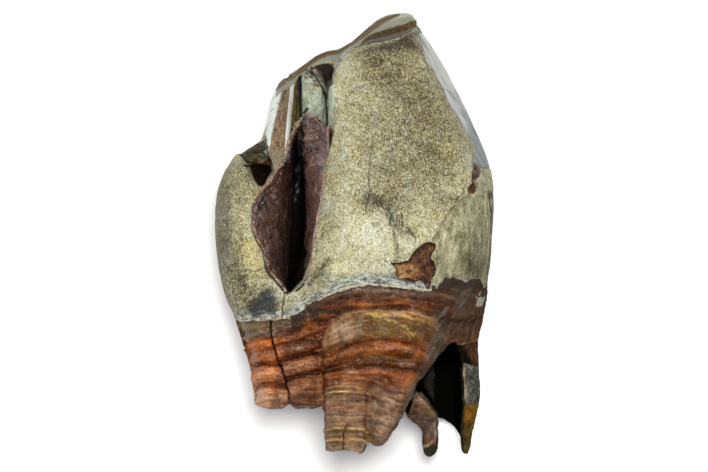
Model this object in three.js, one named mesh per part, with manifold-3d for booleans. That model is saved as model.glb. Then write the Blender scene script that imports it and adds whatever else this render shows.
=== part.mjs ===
// Fossil upper cheek tooth of a woolly rhinoceros, lying on its cheek side. One natural piece, in millimetres.
// +Y runs along the tooth towards the chewing end, +X towards its front, +Z away from the surface it lies on.
// Below, Y is counted from a station just below the middle of the enamel, and the finished tooth is then set with the
// origin under its middle. "Front" and "back" rails are heights in Z: back is the face towards the surface, and front
// is the tongue side, which faces up.
import * as THREE from "three";
import { mergeVertices } from "three/addons/utils/BufferGeometryUtils.js";
import Module from "manifold-3d";

const wasm = await Module();
wasm.setup();

// Driving dimensions.
const CROWN_TOP = 41.3; // highest point of the worn crown, along Y
const ROOT_END = -40.3; // tip of the longest root splinter
const CROWN_FRONT = 25.2; // half of the crown's length, X
const CROWN_DEPTH = 44.5; // from the cheek side to the tongue side, Z
const NECK = -12; // where enamel gives way to root, along Y
const MIDDLE = (CROWN_TOP + ROOT_END) / 2;
const REST_CUT = 0.35; // how much of the cheek wall's swelling is flattened where it lies

// The chewing surface is a plane that rises towards the front and falls towards the tongue side.
const WEAR = { height: 36.2, riseAlongX: 0.537, fallAlongZ: 0.14, wallZ: 4 };

const ENAMEL = new THREE.MeshStandardMaterial({ color: 0xb5a98a, roughness: 0.55, metalness: 0 });

// A smooth curve through [station, value] pairs, stations rising.
function rail(...points) {
  return (at) => {
    const last = points.length - 1;
    if (at <= points[0][0]) return points[0][1];
    if (at >= points[last][0]) return points[last][1];
    let i = 0;
    while (at > points[i + 1][0]) i += 1;
    const slope = (a, b) => (points[b][1] - points[a][1]) / (points[b][0] - points[a][0]);
    const step = points[i + 1][0] - points[i][0];
    const leaving = slope(Math.max(i - 1, 0), i + 1) * step;
    const arriving = slope(i, Math.min(i + 2, last)) * step;
    const t = (at - points[i][0]) / step;
    const keep = 2 * t ** 3 - 3 * t ** 2 + 1;
    const leave = t ** 3 - 2 * t ** 2 + t;
    const arrive = t ** 3 - t ** 2;
    return keep * points[i][1] + leave * leaving + (1 - keep) * points[i + 1][1] + arrive * arriving;
  };
}

const level = (value) => () => value;
const SEAM = 1e-5; // sines smaller than this are rounding, and would open a loft's seam

// Turns a geometry into a manifold solid.
function solidOf(geometry) {
  geometry.deleteAttribute("normal");
  geometry.deleteAttribute("uv");
  const merged = mergeVertices(geometry, 1e-4);
  return new wasm.Manifold(
    new wasm.Mesh({
      numProp: 3,
      vertProperties: merged.attributes.position.array,
      triVerts: new Uint32Array(merged.index.array),
    }),
  );
}

// A closed body along Y between four rails. Its cross-section is a rounded box: square 2 is an ellipse, more is squarer.
// lean shears it, in X per Z, about the height leanFrom.
function loft({ from, to, left, right, back, front, square = 2.6, lean = 0, leanFrom = 0, sides = 28, rings = 11 }) {
  const geometry = new THREE.CylinderGeometry(1, 1, 1, sides, rings);
  const place = geometry.getAttribute("position");
  const rounded = (c) => (Math.abs(c) < SEAM ? 0 : Math.sign(c) * Math.abs(c) ** (2 / square));
  for (let i = 0; i < place.count; i += 1) {
    const y = from + (to - from) * (place.getY(i) + 0.5);
    const reach = Math.hypot(place.getX(i), place.getZ(i));
    const angle = Math.atan2(place.getZ(i), place.getX(i));
    const halfX = (right(y) - left(y)) / 2;
    const halfZ = (front(y) - back(y)) / 2;
    const z = (front(y) + back(y)) / 2 + reach * halfZ * rounded(Math.sin(angle));
    const x = (right(y) + left(y)) / 2 + reach * halfX * rounded(Math.cos(angle)) + lean * (z - leanFrom);
    place.setXYZ(i, x, y, z);
  }
  return solidOf(geometry);
}

// A large block whose lower face lies in the plane through point, square to normal.
function blockAbove(point, normal) {
  const size = 200;
  const block = new THREE.BoxGeometry(size, size, size).translate(0, size / 2, 0);
  block.applyQuaternion(
    new THREE.Quaternion().setFromUnitVectors(new THREE.Vector3(0, 1, 0), normal.clone().normalize()),
  );
  block.translate(point.x, point.y, point.z);
  return solidOf(block);
}

const union = (solids) => solids.reduce((all, one) => all.add(one));

// The cheek wall, a broad slab with a low rib behind each cusp. It carries the tooth where it lies.
function cheekWall() {
  const slab = loft({
    from: -20,
    to: 42.5,
    left: rail([-20, -17], [-12, -21], [0, -22.3], [10, -20.5], [18, -17], [24, -15], [29, -13.8], [42, -12]),
    right: rail([-20, 20.5], [-8, 23.5], [5, 24], [14, 22.2], [25, 17.9], [34, 13.4], [42, 9.6]),
    back: rail([-20, 2.6], [-10, 0.6], [3, -0.2], [16, 0.6], [30, 2.6], [42, 4.4]),
    front: rail([-20, 15], [0, 15], [15, 13], [28, 9.5], [42, 8.4]),
    square: 4.2,
    rings: 14,
  });
  const frontRib = loft({
    from: -16,
    to: 42.2,
    left: rail([-16, 3], [10, 3.5], [42, 3.5]),
    right: rail([-16, 16], [10, 15.5], [42, 8.5]),
    back: rail([-16, 1.5], [-4, -REST_CUT], [12, -REST_CUT], [28, 1.4], [42, 3.4]),
    front: level(9),
  });
  const rearRib = loft({
    from: -16,
    to: 32,
    left: rail([-16, -16], [8, -15.5], [30, -12]),
    right: rail([-16, -6], [8, -6.5], [30, -7]),
    back: rail([-16, 1.8], [-4, -REST_CUT], [12, -REST_CUT], [26, 1.2], [32, 2.2]),
    front: level(9),
  });
  return union([slab, frontRib, rearRib]);
}

// The large front lobe on the tongue side, which leans back towards the cheek wall as it rises.
function frontLobe() {
  return loft({
    from: -15,
    to: 42.5,
    left: rail([-15, -12], [-4, -12], [4, -10.4], [12, -8.4], [20, -7], [28, -5.6], [32, -3.6], [36, 0.5], [42, 4]),
    right: rail([-15, 22.6], [-8, 24.2], [0, 25], [7, CROWN_FRONT], [12, 24.6], [17.5, 22.7], [26, 18.9], [33, 14.9], [37, 12.4], [42, 9.2]),
    back: rail([-15, 5], [30, 5], [42, 6]),
    front: rail([-15, 41], [-8, CROWN_DEPTH - 0.5], [1, CROWN_DEPTH - 0.8], [10, 41.4], [20, 36.8], [30, 31], [42, 24.5]),
    square: 2.7,
    sides: 36,
    rings: 16,
  });
}

// The smaller rear lobe on the tongue side.
function rearLobe() {
  return loft({
    from: -16,
    to: 15.2,
    left: rail([-16, -21.2], [-11, -23.4], [-4, -24.8], [3.7, -CROWN_FRONT], [9, -24.8], [13, -23], [15.2, -21.2]),
    right: rail([-16, -6], [-8, -9], [0, -12.5], [6, -14], [12, -15.2], [15.2, -17.6]),
    back: rail([-16, 6], [0, 6], [10, 10], [15.2, 18]),
    front: rail([-16, 37], [-6, 38], [2, 36.4], [8, 34], [13, 30.6], [15.2, 27.5]),
    square: 2.5,
  });
}

// The rear cross-ridge, which joins the rear lobe to the cheek wall. Its worn top falls towards the tongue side.
function rearRidge() {
  return loft({
    from: -14,
    to: 29.4,
    left: rail([-14, -21], [0, -20.6], [8, -19.4], [14, -17.4], [19, -15.8], [25, -14.2], [29.4, -13.4]),
    right: rail([-14, -8], [4, -10], [12, -11.6], [20, -11.4], [29.4, -10.6]),
    back: level(4),
    front: rail([-14, 34], [8, 31], [12.7, 28], [28.8, 7.5], [29.4, 6.6]),
    square: 5,
    sides: 24,
    rings: 14,
  });
}

// The neck, where crown and roots join.
function neck() {
  return loft({
    from: -23,
    to: -5,
    left: rail([-23, -13], [-21, -17.6], [-17, -20.2], [NECK, -22.6], [-5, -24.4]),
    right: rail([-23, 16], [-21, 20.2], [-17, 22.4], [NECK, 23.4], [-5, 24.4]),
    back: rail([-23, 10], [-21, 4.4], [-17, 2], [NECK, 1.2], [-5, 1]),
    front: rail([-23, 24], [-21, 33], [-17, 37], [NECK, 39.5], [-5, 40]),
    square: 3,
    rings: 9,
  });
}

// The rear root on the tongue side, broken off square.
function rearRoot() {
  return loft({
    from: -31,
    to: -10,
    left: rail([-31, -17.8], [-23.5, -18.6], [-19.5, -19.7], [-14, -21.6], [-10, -22.6]),
    right: rail([-31, -4.4], [-10, -4.2]),
    back: rail([-31, 15], [-10, 8]),
    front: rail([-31, 33.5], [-20, 35.5], [-10, 38]),
    square: 3.6,
    rings: 10,
  });
}

// The great root under the front lobe: a broad cone that ends in a column and a flatter blade beside it.
function frontRoot() {
  const cone = loft({
    from: -34,
    to: -7,
    left: rail([-34, -4.6], [-24, -5.9], [-18, -6.6], [-12, -8], [-7, -6]),
    right: rail([-34, 7.6], [-30, 9.6], [-26, 11.4], [-22, 15], [-18, 16.8], [-12, 18.5], [-7, 18]),
    back: rail([-34, 24], [-24, 18], [-7, 8]),
    front: rail([-34, 37], [-26, 41], [-18, CROWN_DEPTH], [-12, CROWN_DEPTH], [-7, 42]),
    square: 2.5,
    sides: 32,
  });
  const column = loft({
    from: -38.8,
    to: -20,
    left: rail([-38.8, -5.9], [-20, -6]),
    right: rail([-38.8, 1.8], [-30, 2.8], [-20, 4]),
    back: rail([-38.8, 29], [-20, 26]),
    front: rail([-38.8, 39], [-30, 41], [-20, 44]),
    square: 2.6,
    sides: 20,
    rings: 7,
  });
  const blade = loft({
    from: -38.1,
    to: -20,
    left: rail([-38.1, 1.4], [-20, 2]),
    right: rail([-38.1, 6], [-35, 7.4], [-30.5, 9.9], [-26, 11.5], [-20, 15]),
    back: rail([-38.1, 27], [-20, 24]),
    front: rail([-38.1, 34.5], [-30, 38], [-20, 42]),
    square: 2.8,
    sides: 20,
    rings: 7,
  });
  return union([cone, column, blade]);
}

// The front root on the cheek side, a broken shell round a hollow that is open towards the tongue side.
function cheekFrontRoot() {
  const outer = loft({
    from: -40,
    to: -12,
    left: rail([-40, 11.5], [-30, 9.5], [-20, 6], [-12, 5]),
    right: rail([-40, 20.6], [-37.5, 21], [-33.5, 21.7], [-30, 22.4], [-24, 22.4], [-18, 22.2], [-12, 23]),
    back: rail([-40, 5.5], [-30, 3], [-20, 1.4], [-12, 1.2]),
    front: rail([-40, 19], [-30, 25], [-20, 28], [-12, 30]),
    square: 3,
    rings: 12,
  });
  // Between the two splinters the shell is broken off shorter.
  const notch = loft({
    from: -46,
    to: -33.6,
    left: level(14.8),
    right: rail([-46, 19.2], [-38, 19], [-35.2, 18.6], [-33.6, 15.6]),
    back: level(-20),
    front: level(44),
    square: 8,
    sides: 12,
    rings: 6,
  });
  return outer.subtract(notch);
}

// The rear root on the cheek side, broken off to a stump.
function cheekRearRoot() {
  return loft({
    from: -27,
    to: -12,
    left: rail([-27, -16.5], [-12, -20.5]),
    right: rail([-27, -6.5], [-12, -4]),
    back: rail([-27, 3.6], [-12, 1.2]),
    front: rail([-27, 13], [-12, 18]),
    square: 3,
    rings: 8,
  });
}

// The splinter left of the hollow, on the shell's inner side.
function splinter() {
  return loft({
    from: ROOT_END,
    to: -27,
    left: rail([ROOT_END, 12.8], [-38, 12.3], [-34, 10.9], [-31, 10.3], [-27, 10]),
    right: rail([ROOT_END, 14.2], [-38, 15.1], [-34, 15.5], [-31, 14.2], [-27, 12.8]),
    back: rail([ROOT_END, 11], [-27, 9]),
    front: rail([ROOT_END, 16], [-34, 20], [-27, 22]),
    sides: 20,
    rings: 8,
  });
}

// The deep valley between the two lobes, open towards the tongue side and the chewing surface.
function valley() {
  const mouth = {
    left: rail([-11.4, -12.4], [-8, -13.8], [-4, -16.4], [0, -18.6], [4, -19], [9, -17.2], [12.5, -13.4], [18, -12.4], [44, -12]),
    right: rail([-11.4, -11.6], [-8, -10.4], [-4, -8.7], [2, -7.3], [12, -5.8], [20, -4.6], [28, -3.9], [32, -3.2], [44, 0]),
  };
  return loft({
    from: -11.4,
    to: 44,
    left: mouth.left,
    right: mouth.right,
    back: rail([-11.4, 40], [-9, 30], [-4, 20], [4, 13.5], [16, 11], [24, 9.5], [44, 8.5]),
    front: level(78),
    square: 2.2,
    lean: -0.09,
    leanFrom: 36,
    rings: 20,
  });
}

// The pit behind the rear ridge.
function rearPit() {
  return loft({
    from: 4,
    to: 30,
    left: rail([4, -18.6], [9, -20.6], [14, -20.8], [30, -21.5]),
    right: rail([4, -17.4], [9, -16.4], [14, -17.2], [20, -15.8], [30, -13.8]),
    back: rail([4, 20], [10, 14], [30, 11]),
    front: rail([4, 26], [9, 29], [14, 44], [30, 60]),
    sides: 24,
    rings: 10,
  });
}

// The hollow of the cheek-side front root, which runs up into the neck.
function pulpHollow() {
  return loft({
    from: -46,
    to: -18,
    left: rail([-46, 14.4], [-34, 13.9], [-30, 12.2], [-24, 11.5], [-18, 14.5]),
    right: rail([-46, 17.5], [-38, 17.8], [-34, 18.8], [-29, 20], [-23, 19.4], [-18, 18]),
    back: rail([-46, 8.5], [-30, 5], [-22, 5.6], [-18, 12]),
    front: rail([-46, 52], [-30, 52], [-22, 40], [-18, 22]),
    square: 3.4,
    rings: 12,
  });
}

// A blind canal in a root's broken end.
function canal({ x, z, wide, deep, end, length }) {
  return loft({
    from: end - 2,
    to: end + length,
    left: rail([end, x - wide / 2], [end + length, x - wide / 5]),
    right: rail([end, x + wide / 2], [end + length, x + wide / 5]),
    back: rail([end, z - deep / 2], [end + length, z - deep / 5]),
    front: rail([end, z + deep / 2], [end + length, z + deep / 5]),
    sides: 16,
    rings: 4,
  });
}

function makeTooth() {
  const grown = union([
    cheekWall(),
    frontLobe(),
    rearLobe(),
    rearRidge(),
    neck(),
    rearRoot(),
    frontRoot(),
    cheekFrontRoot(),
    cheekRearRoot(),
    splinter(),
  ]);
  const wearNormal = new THREE.Vector3(-WEAR.riseAlongX, 1, WEAR.fallAlongZ);
  const lost = union([
    blockAbove(new THREE.Vector3(0, WEAR.height, WEAR.wallZ), wearNormal),
    blockAbove(new THREE.Vector3(0, CROWN_TOP, 0), new THREE.Vector3(0, 1, 0)),
    blockAbove(new THREE.Vector3(0, 0, 0), new THREE.Vector3(0, 0, -1)),
    valley(),
    rearPit(),
    pulpHollow(),
    canal({ x: -2, z: 34, wide: 4, deep: 5, end: -38.8, length: 7 }),
    canal({ x: -11.8, z: 24.5, wide: 5.6, deep: 7.8, end: -31, length: 8 }),
    canal({ x: -11.5, z: 8.3, wide: 6, deep: 5.5, end: -27, length: 7 }),
  ]);
  return grown.subtract(lost);
}

function meshOf(name, solid, material) {
  const { vertProperties, triVerts } = solid.getMesh();
  const geometry = new THREE.BufferGeometry();
  geometry.setAttribute("position", new THREE.BufferAttribute(vertProperties, 3));
  geometry.setIndex(new THREE.BufferAttribute(triVerts, 1));
  geometry.computeVertexNormals();
  const mesh = new THREE.Mesh(geometry, material);
  mesh.name = name;
  return mesh;
}

const group = new THREE.Group();
const tooth = meshOf("tooth", makeTooth(), ENAMEL);
tooth.position.y = -MIDDLE;
group.add(tooth);

export default group;
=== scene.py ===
"""Looks of a fossil upper cheek tooth of a woolly rhinoceros, lying on its cheek side.

The tooth is modelled in millimetres and brought to metres at the end. +Y runs along it towards the chewing end, +X
towards its front and +Z away from the surface it lies on. It is made of three pieces: the crown, the roots that it
stands on, and the dark lining of the deep valley between the crown's two lobes.
"""

import math

import bpy
import numpy as np
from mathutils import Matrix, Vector
from mathutils.bvhtree import BVHTree


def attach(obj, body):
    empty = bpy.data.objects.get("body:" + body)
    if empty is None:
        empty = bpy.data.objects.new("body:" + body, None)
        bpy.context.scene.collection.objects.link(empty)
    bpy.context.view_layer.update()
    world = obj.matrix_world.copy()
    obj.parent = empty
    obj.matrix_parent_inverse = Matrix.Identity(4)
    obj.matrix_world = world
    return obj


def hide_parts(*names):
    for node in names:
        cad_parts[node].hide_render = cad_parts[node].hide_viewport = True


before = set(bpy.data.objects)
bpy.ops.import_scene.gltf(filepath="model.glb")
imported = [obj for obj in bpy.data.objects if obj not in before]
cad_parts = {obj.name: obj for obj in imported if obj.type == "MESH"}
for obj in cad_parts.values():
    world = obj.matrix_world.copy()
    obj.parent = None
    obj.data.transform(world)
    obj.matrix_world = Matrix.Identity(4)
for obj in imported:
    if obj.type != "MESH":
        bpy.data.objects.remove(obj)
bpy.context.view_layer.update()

MM = 0.001
GROWN_VOXEL = 0.5  # sizes of the cells in which bodies are fused, in mm
CROWN_VOXEL = 0.36
CROWN_SKIN = 0.33
ROOTS_VOXEL = 0.3

# Small tools
# -----------


def rail(*points):
    """A smooth curve through (station, value) pairs, stations rising. It takes a number or an array."""
    at, value = (np.array(column, float) for column in zip(*points))
    slope = np.gradient(value, at) if len(at) > 2 else np.full(2, (value[1] - value[0]) / (at[1] - at[0]))

    def curve(y):
        y = np.clip(np.asarray(y, float), at[0], at[-1])
        i = np.clip(np.searchsorted(at, y, side="right") - 1, 0, len(at) - 2)
        step = at[i + 1] - at[i]
        t = (y - at[i]) / step
        keep = 2 * t**3 - 3 * t**2 + 1
        leave, arrive = (t**3 - 2 * t**2 + t) * step, (t**3 - t**2) * step
        return keep * value[i] + leave * slope[i] + (1 - keep) * value[i + 1] + arrive * slope[i + 1]

    return curve


def line(*points):
    """Straight stretches through (station, value) pairs."""
    at, value = zip(*points)
    return lambda y: np.interp(y, at, value)


def level(value):
    """A rail of one height."""
    return lambda y: value + 0.0 * np.asarray(y, float)


def through(points, steps=4):
    """A closed outline of (x, y) points rounded off through all of them."""
    p = np.array(points, float)
    before, after, beyond = np.roll(p, 1, 0), np.roll(p, -1, 0), np.roll(p, -2, 0)
    rounded = []
    for t in np.arange(steps) / steps:
        rounded.append(
            0.5
            * (2 * p + (after - before) * t + (2 * before - 5 * p + 4 * after - beyond) * t**2
               + (3 * p - before - 3 * after + beyond) * t**3)
        )
    return np.stack(rounded, 1).reshape(-1, 2)


def hashed(ix, iy, iz, seed):
    """A number from 0 to 1 that belongs to a point of a whole-number lattice."""
    mixed = (ix * 374761393 + iy * 668265263 + iz * 2147483647 + seed * 1274126177) & 0xFFFFFFFF
    mixed = ((mixed ^ (mixed >> 13)) * 1274126177) & 0xFFFFFFFF
    return ((mixed ^ (mixed >> 16)) & 0xFFFF) / 65535.0


def lumps(points, size, seed, stretch=(1, 1, 1)):
    """Soft lumps of about that size in mm, from -1 to 1."""
    p = points / (np.array(stretch, float) * size)
    base = np.floor(p).astype(np.int64)
    t = p - base
    t = t * t * (3 - 2 * t)
    total = np.zeros(len(p))
    for corner in range(8):
        dx, dy, dz = corner & 1, corner >> 1 & 1, corner >> 2 & 1
        weight = (
            (t[:, 0] if dx else 1 - t[:, 0])
            * (t[:, 1] if dy else 1 - t[:, 1])
            * (t[:, 2] if dz else 1 - t[:, 2])
        )
        total += weight * hashed(base[:, 0] + dx, base[:, 1] + dy, base[:, 2] + dz, seed)
    return total * 2 - 1


def rough(points, size, seed, layers=3, stretch=(1, 1, 1)):
    """Lumps with smaller lumps on them, from about -1 to 1."""
    total, strength = np.zeros(len(points)), 0.0
    for layer in range(layers):
        total += lumps(points, size / 2**layer, seed + layer, stretch) / 2**layer
        strength += 1 / 2**layer
    return total / strength


def ramp(value, low, high):
    """0 below low, 1 above high and smooth between them."""
    t = np.clip((value - low) / (high - low), 0, 1)
    return t * t * (3 - 2 * t)


def reach_to(points, path):
    """Distance of each (x, y) point from an open path, and how far along it, from 0 to 1, its nearest point lies."""
    p = np.asarray(points, float)[:, :2]
    path = np.array(path, float)
    lengths = np.linalg.norm(np.diff(path, axis=0), axis=1)
    done = np.concatenate([[0], np.cumsum(lengths)])
    nearest, along = np.full(len(p), 1e9), np.zeros(len(p))
    for i, (a, b) in enumerate(zip(path[:-1], path[1:])):
        t = np.clip(((p - a) @ (b - a)) / lengths[i] ** 2, 0, 1)
        gap = np.linalg.norm(p - a - t[:, None] * (b - a), axis=1)
        closer = gap < nearest
        nearest = np.where(closer, gap, nearest)
        along = np.where(closer, (done[i] + t * lengths[i]) / done[-1], along)
    return nearest, along


def inside(points, outline):
    """How deep each (x, y) point lies inside a closed outline, below 0 outside it."""
    p = np.asarray(points, float)[:, :2]
    outline = np.array(outline, float)
    gap, _ = reach_to(p, np.vstack([outline, outline[:1]]))
    crossings = np.zeros(len(p), int)
    for a, b in zip(outline, np.roll(outline, -1, 0)):
        spans = (a[1] > p[:, 1]) != (b[1] > p[:, 1])
        crossings += spans & (p[:, 0] < (b[0] - a[0]) * (p[:, 1] - a[1]) / ((b[1] - a[1]) or 1e-9) + a[0])
    return np.where(crossings % 2 == 1, gap, -gap)


def places(piece):
    """The piece's vertices as an array."""
    at = np.empty(len(piece.data.vertices) * 3, np.float32)
    piece.data.vertices.foreach_get("co", at)
    return at.reshape(-1, 3).astype(float)


def directions(piece):
    """The piece's outward directions at its vertices."""
    out = np.empty(len(piece.data.vertices) * 3, np.float32)
    piece.data.vertices.foreach_get("normal", out)
    return out.reshape(-1, 3).astype(float)


def put(piece, at):
    """Moves the piece's vertices to those places."""
    piece.data.vertices.foreach_set("co", np.asarray(at, np.float32).ravel())
    piece.data.update()


def x_on(path, y):
    """X of an (x, y) path that only rises or only falls, at each Y."""
    rising = sorted((b, a) for a, b in path)
    return np.interp(y, *zip(*rising))


def only(piece):
    """Makes this piece the one that the operators act on."""
    bpy.ops.object.select_all(action="DESELECT")
    piece.select_set(True)
    bpy.context.view_layer.objects.active = piece


def edit(piece):
    """Opens the piece in edit mode with all of it selected."""
    only(piece)
    bpy.ops.object.mode_set(mode="EDIT")
    bpy.ops.mesh.select_all(action="SELECT")


def leave_edit():
    bpy.ops.object.mode_set(mode="OBJECT")


def trim(piece, point, outward):
    """Cuts off what lies beyond a plane through the point and closes the cut."""
    edit(piece)
    bpy.ops.mesh.bisect(plane_co=point, plane_no=outward, use_fill=True, clear_outer=True)
    leave_edit()


def finish_with(piece, kind, **settings):
    """Adds a modifier and applies it."""
    only(piece)
    modifier = piece.modifiers.new(kind.title(), kind)
    for name, value in settings.items():
        setattr(modifier, name, value)
    bpy.ops.object.modifier_apply(modifier=modifier.name)


def close_and_face_out(piece):
    """Closes what is open at a lofted piece's ends and points its faces outwards."""
    edit(piece)
    bpy.ops.mesh.remove_doubles(threshold=0.001)
    bpy.ops.mesh.normals_make_consistent(inside=False)
    leave_edit()


# Bodies
# ------


def grown(name, start, end, left, right, back, front, corner=0.85, rings=12, smooth=2):
    """A closed body along Y between four sides, extruded ring by ring from a plane with rounded corners. A side is a
    rail's (Y, value) points or one number: the least and the greatest X, then the least and the greatest Z."""
    sides = (left, right, back, front)
    left, right, back, front = (rail(*side) if isinstance(side, list) else level(side) for side in sides)
    bpy.ops.object.select_all(action="DESELECT")
    bpy.ops.mesh.primitive_plane_add(size=2)
    piece = bpy.context.object
    piece.name = name
    edit(piece)
    bpy.ops.mesh.bevel(offset=corner, segments=5, profile=0.5, affect="VERTICES")
    bpy.ops.transform.rotate(value=math.pi / 2, orient_axis="X", center_override=(0, 0, 0))
    nearly = 0.04 * (end - start) / rings
    stations = np.concatenate([
        [start, start + nearly], np.linspace(start, end, rings + 1)[1:-1], [end - nearly, end],
    ])
    middle, half = Vector((0, 0, 0)), (1.0, 1.0)
    for i, y in enumerate(stations):
        here = Vector(((left(y) + right(y)) / 2, y, (back(y) + front(y)) / 2))
        size = (float(right(y) - left(y)) / 2, float(front(y) - back(y)) / 2)
        if i:
            bpy.ops.mesh.extrude_region_move(TRANSFORM_OT_translate={"value": here - middle})
        else:
            bpy.ops.transform.translate(value=here)
        bpy.ops.transform.resize(value=(size[0] / half[0], 1, size[1] / half[1]), center_override=here)
        middle, half = here, size
    leave_edit()
    close_and_face_out(piece)
    if smooth:
        finish_with(piece, "SUBSURF", levels=smooth, render_levels=smooth)
    return piece


def well(name, outline, levels):
    """A closed cutter from an (x, y) outline, extruded down from one level to the next. Each level is a function that
    takes the outline's points and gives their (x, y, z) places there."""
    bpy.ops.object.select_all(action="DESELECT")
    bpy.ops.mesh.primitive_circle_add(vertices=len(outline), radius=1, fill_type="NGON")
    piece = bpy.context.object
    piece.name = name
    for i, place in enumerate(levels):
        if i:
            bpy.ops.object.mode_set(mode="EDIT")
            bpy.ops.mesh.extrude_region_move(TRANSFORM_OT_translate={"value": (0, 0, -1)})
            leave_edit()
        at = places(piece)
        at[-len(outline) :] = place(np.array(outline, float))
        put(piece, at)
        if not i:
            edit(piece)  # selects the first ring for the next one
            leave_edit()
    close_and_face_out(piece)
    edit(piece)
    bpy.ops.mesh.quads_convert_to_tris()
    leave_edit()
    return piece


def walled(name, cells, x_range, z_range, face, end):
    """A closed block between the uneven wall face(x, z), which gives its Y, and the flat wall at Y = end."""
    bpy.ops.object.select_all(action="DESELECT")
    bpy.ops.mesh.primitive_grid_add(x_subdivisions=cells[0], y_subdivisions=cells[1], size=1)
    block = bpy.context.object
    block.name = name
    edit(block)
    bpy.ops.transform.resize(value=(x_range[1] - x_range[0], z_range[1] - z_range[0], 1))
    bpy.ops.transform.translate(value=(sum(x_range) / 2, sum(z_range) / 2, 0))
    bpy.ops.mesh.extrude_region_move(TRANSFORM_OT_translate={"value": (0, 0, 1)})
    leave_edit()
    x, z, side = places(block).T
    put(block, np.stack([x, np.where(side < 0.5, face(x, z), end), z], 1))
    close_and_face_out(block)
    return block


def fused(name, pieces, voxel):
    """One closed skin round several bodies."""
    only(pieces[0])
    for piece in pieces[1:]:
        piece.select_set(True)
    bpy.ops.object.join()
    whole = bpy.context.object
    whole.name = name
    finish_with(whole, "REMESH", mode="VOXEL", voxel_size=voxel)
    return whole


def cut(piece, cutter, keep=False):
    """Takes the cutter's shape out of the piece, or keeps only what lies in it."""
    finish_with(piece, "BOOLEAN", operation="INTERSECT" if keep else "DIFFERENCE", solver="MANIFOLD", object=cutter)
    bpy.data.objects.remove(cutter)


def copy_of(piece, name):
    """A copy of the piece with its own mesh."""
    only(piece)
    bpy.ops.object.duplicate()
    twin = bpy.context.object
    twin.name = name
    return twin


# Outlines of the tooth's marks and hollows, seen from above, in mm
# -----------------------------------------------------------------

VALLEY_REAR_RIM = [
    (-11.2, 27.2), (-11.35, 24), (-11.8, 18), (-11.9, 13.1), (-12.8, 12.5), (-13.7, 11.7), (-14.4, 10.9),
    (-15.1, 9.4), (-16, 8.3), (-16.7, 7.5), (-17.3, 6.7), (-17.8, 5.3), (-18.2, 3.5), (-18.3, 1.4), (-18, -0.4),
    (-17.2, -1.9), (-16.5, -3), (-16.1, -4.3), (-16, -5.7), (-15.7, -7), (-14.5, -8.2), (-13.5, -9.4), (-12.5, -10.8),
]
VALLEY_FRONT_RIM = [
    (-12.1, -11.2), (-10.8, -10.1), (-9.5, -8.8), (-8.6, -6.7), (-8, -4.5), (-7.6, -1.9), (-7.2, 0.6), (-6.6, 3.6),
    (-6.4, 5.4), (-6.1, 7.4), (-5.6, 10.1), (-5.1, 12.1), (-4.6, 14), (-4.1, 16.2), (-3.7, 18.2), (-3.6, 21.8),
    (-3.6, 25.3), (-3.6, 31),
]
CERVICAL_LINE = [
    (-25.5, -15.9), (-22, -15.8), (-19.2, -15.9), (-16.5, -15.7), (-14.2, -15.6), (-11.8, -15.3), (-10, -14.4),
    (-8.1, -13), (-6.3, -12.2), (-4.8, -11.2), (-3.2, -10.6), (-1.5, -10.1), (0.5, -9.6), (2.6, -9.4), (5.3, -9.6),
    (7.7, -9.9), (10.5, -10.3), (13, -10.5), (15.4, -10.3), (16.3, -9.5), (18.7, -9.6), (21.5, -9.7), (25.5, -10.8),
]
OUTER_EDGE = [
    (-18, 24), (-12.85, 28.58), (-9.89, 30.56), (-7.14, 32.57), (-5.13, 33.49), (-3.11, 33.67), (-0.55, 35.14),
    (1.65, 37.15), (3.85, 38.99), (6.05, 39.9), (8.43, 40.27), (10.44, 40.55), (14, 40.7),
]
LOBE_EDGE = [
    (-18, 22), (-9, 26.6), (-5.5, 27.6), (-3.6, 28.6), (-2.7, 30.8), (-1.8, 32), (-0.5, 33), (1.2, 33.7), (3, 34.3),
    (4.5, 34.5), (6.3, 34.9), (8.1, 35.5), (9.9, 36.4), (10.8, 37), (14, 37.6),
]
LOBE_EDGE_HEIGHT = [
    (-18, 22), (-9, 19), (-5.5, 20), (-3.4, 26), (-2.7, 29), (1.2, 28), (6.3, 26), (10.8, 23), (14, 22),
]
STRIP_EDGE = [
    (11.3, 37.2), (11.5, 36.2), (12.1, 33.2), (12.6, 30.8), (14.2, 29.1), (15.3, 26.7), (15.9, 25.6), (16.7, 23.2),
    (17.7, 21.5), (18.6, 20.3), (19.4, 18.7), (20.2, 17.5), (20.9, 16.1), (21.4, 14.8), (21.1, 13.4), (20.8, 12.1),
]

SPLINTER = [
    (11.3, -28.9), (12.3, -28.9), (13.1, -30.2), (13.7, -31.4), (14.7, -32.9), (15.1, -34), (14.9, -35), (15, -36.4),
    (15, -38.2), (14.7, -39.8), (13.8, -40.5), (12.9, -40.3), (12.5, -39.3), (12.3, -37.8), (12.2, -36.2),
    (11.8, -35.2), (10.8, -34.5), (9.9, -33.6), (9.5, -32.9), (10.2, -32.9), (11, -33.4), (11.1, -32.2), (11, -31.2),
    (11.1, -30),
]
SPLINTER_RIDGE = [
    (11.9, -29), (13.2, -30.3), (14.4, -32), (15, -33.3), (14.4, -34.5), (14.7, -36.3), (14.2, -37.7), (13.1, -38.5),
    (12.3, -38.7),
]
HOLLOW = [
    (17, -19.4), (13.2, -24.1), (10.9, -27.4), (9.4, -30.2), (8.6, -32.6), (9.3, -32.7), (10.3, -31.4), (10.6, -29.6),
    (11, -28.7), (12.2, -28.7), (13.2, -30), (15.2, -32.8), (15.4, -34), (15.4, -36), (18.9, -36.5), (19, -33),
    (19.2, -30.5), (19.1, -23.6), (18.1, -20.1),
]
FLAP = [
    (17, -19), (18.1, -20.1), (20.6, -19.6), (22.8, -19), (22.8, -24.1), (21.7, -24), (19.6, -23.3), (18.4, -20.6),
]
PLATE = [(19.1, -23.4), (19.3, -26.9), (20, -30.6), (22.9, -30.4), (22.9, -24), (19.8, -23.4)]

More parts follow.
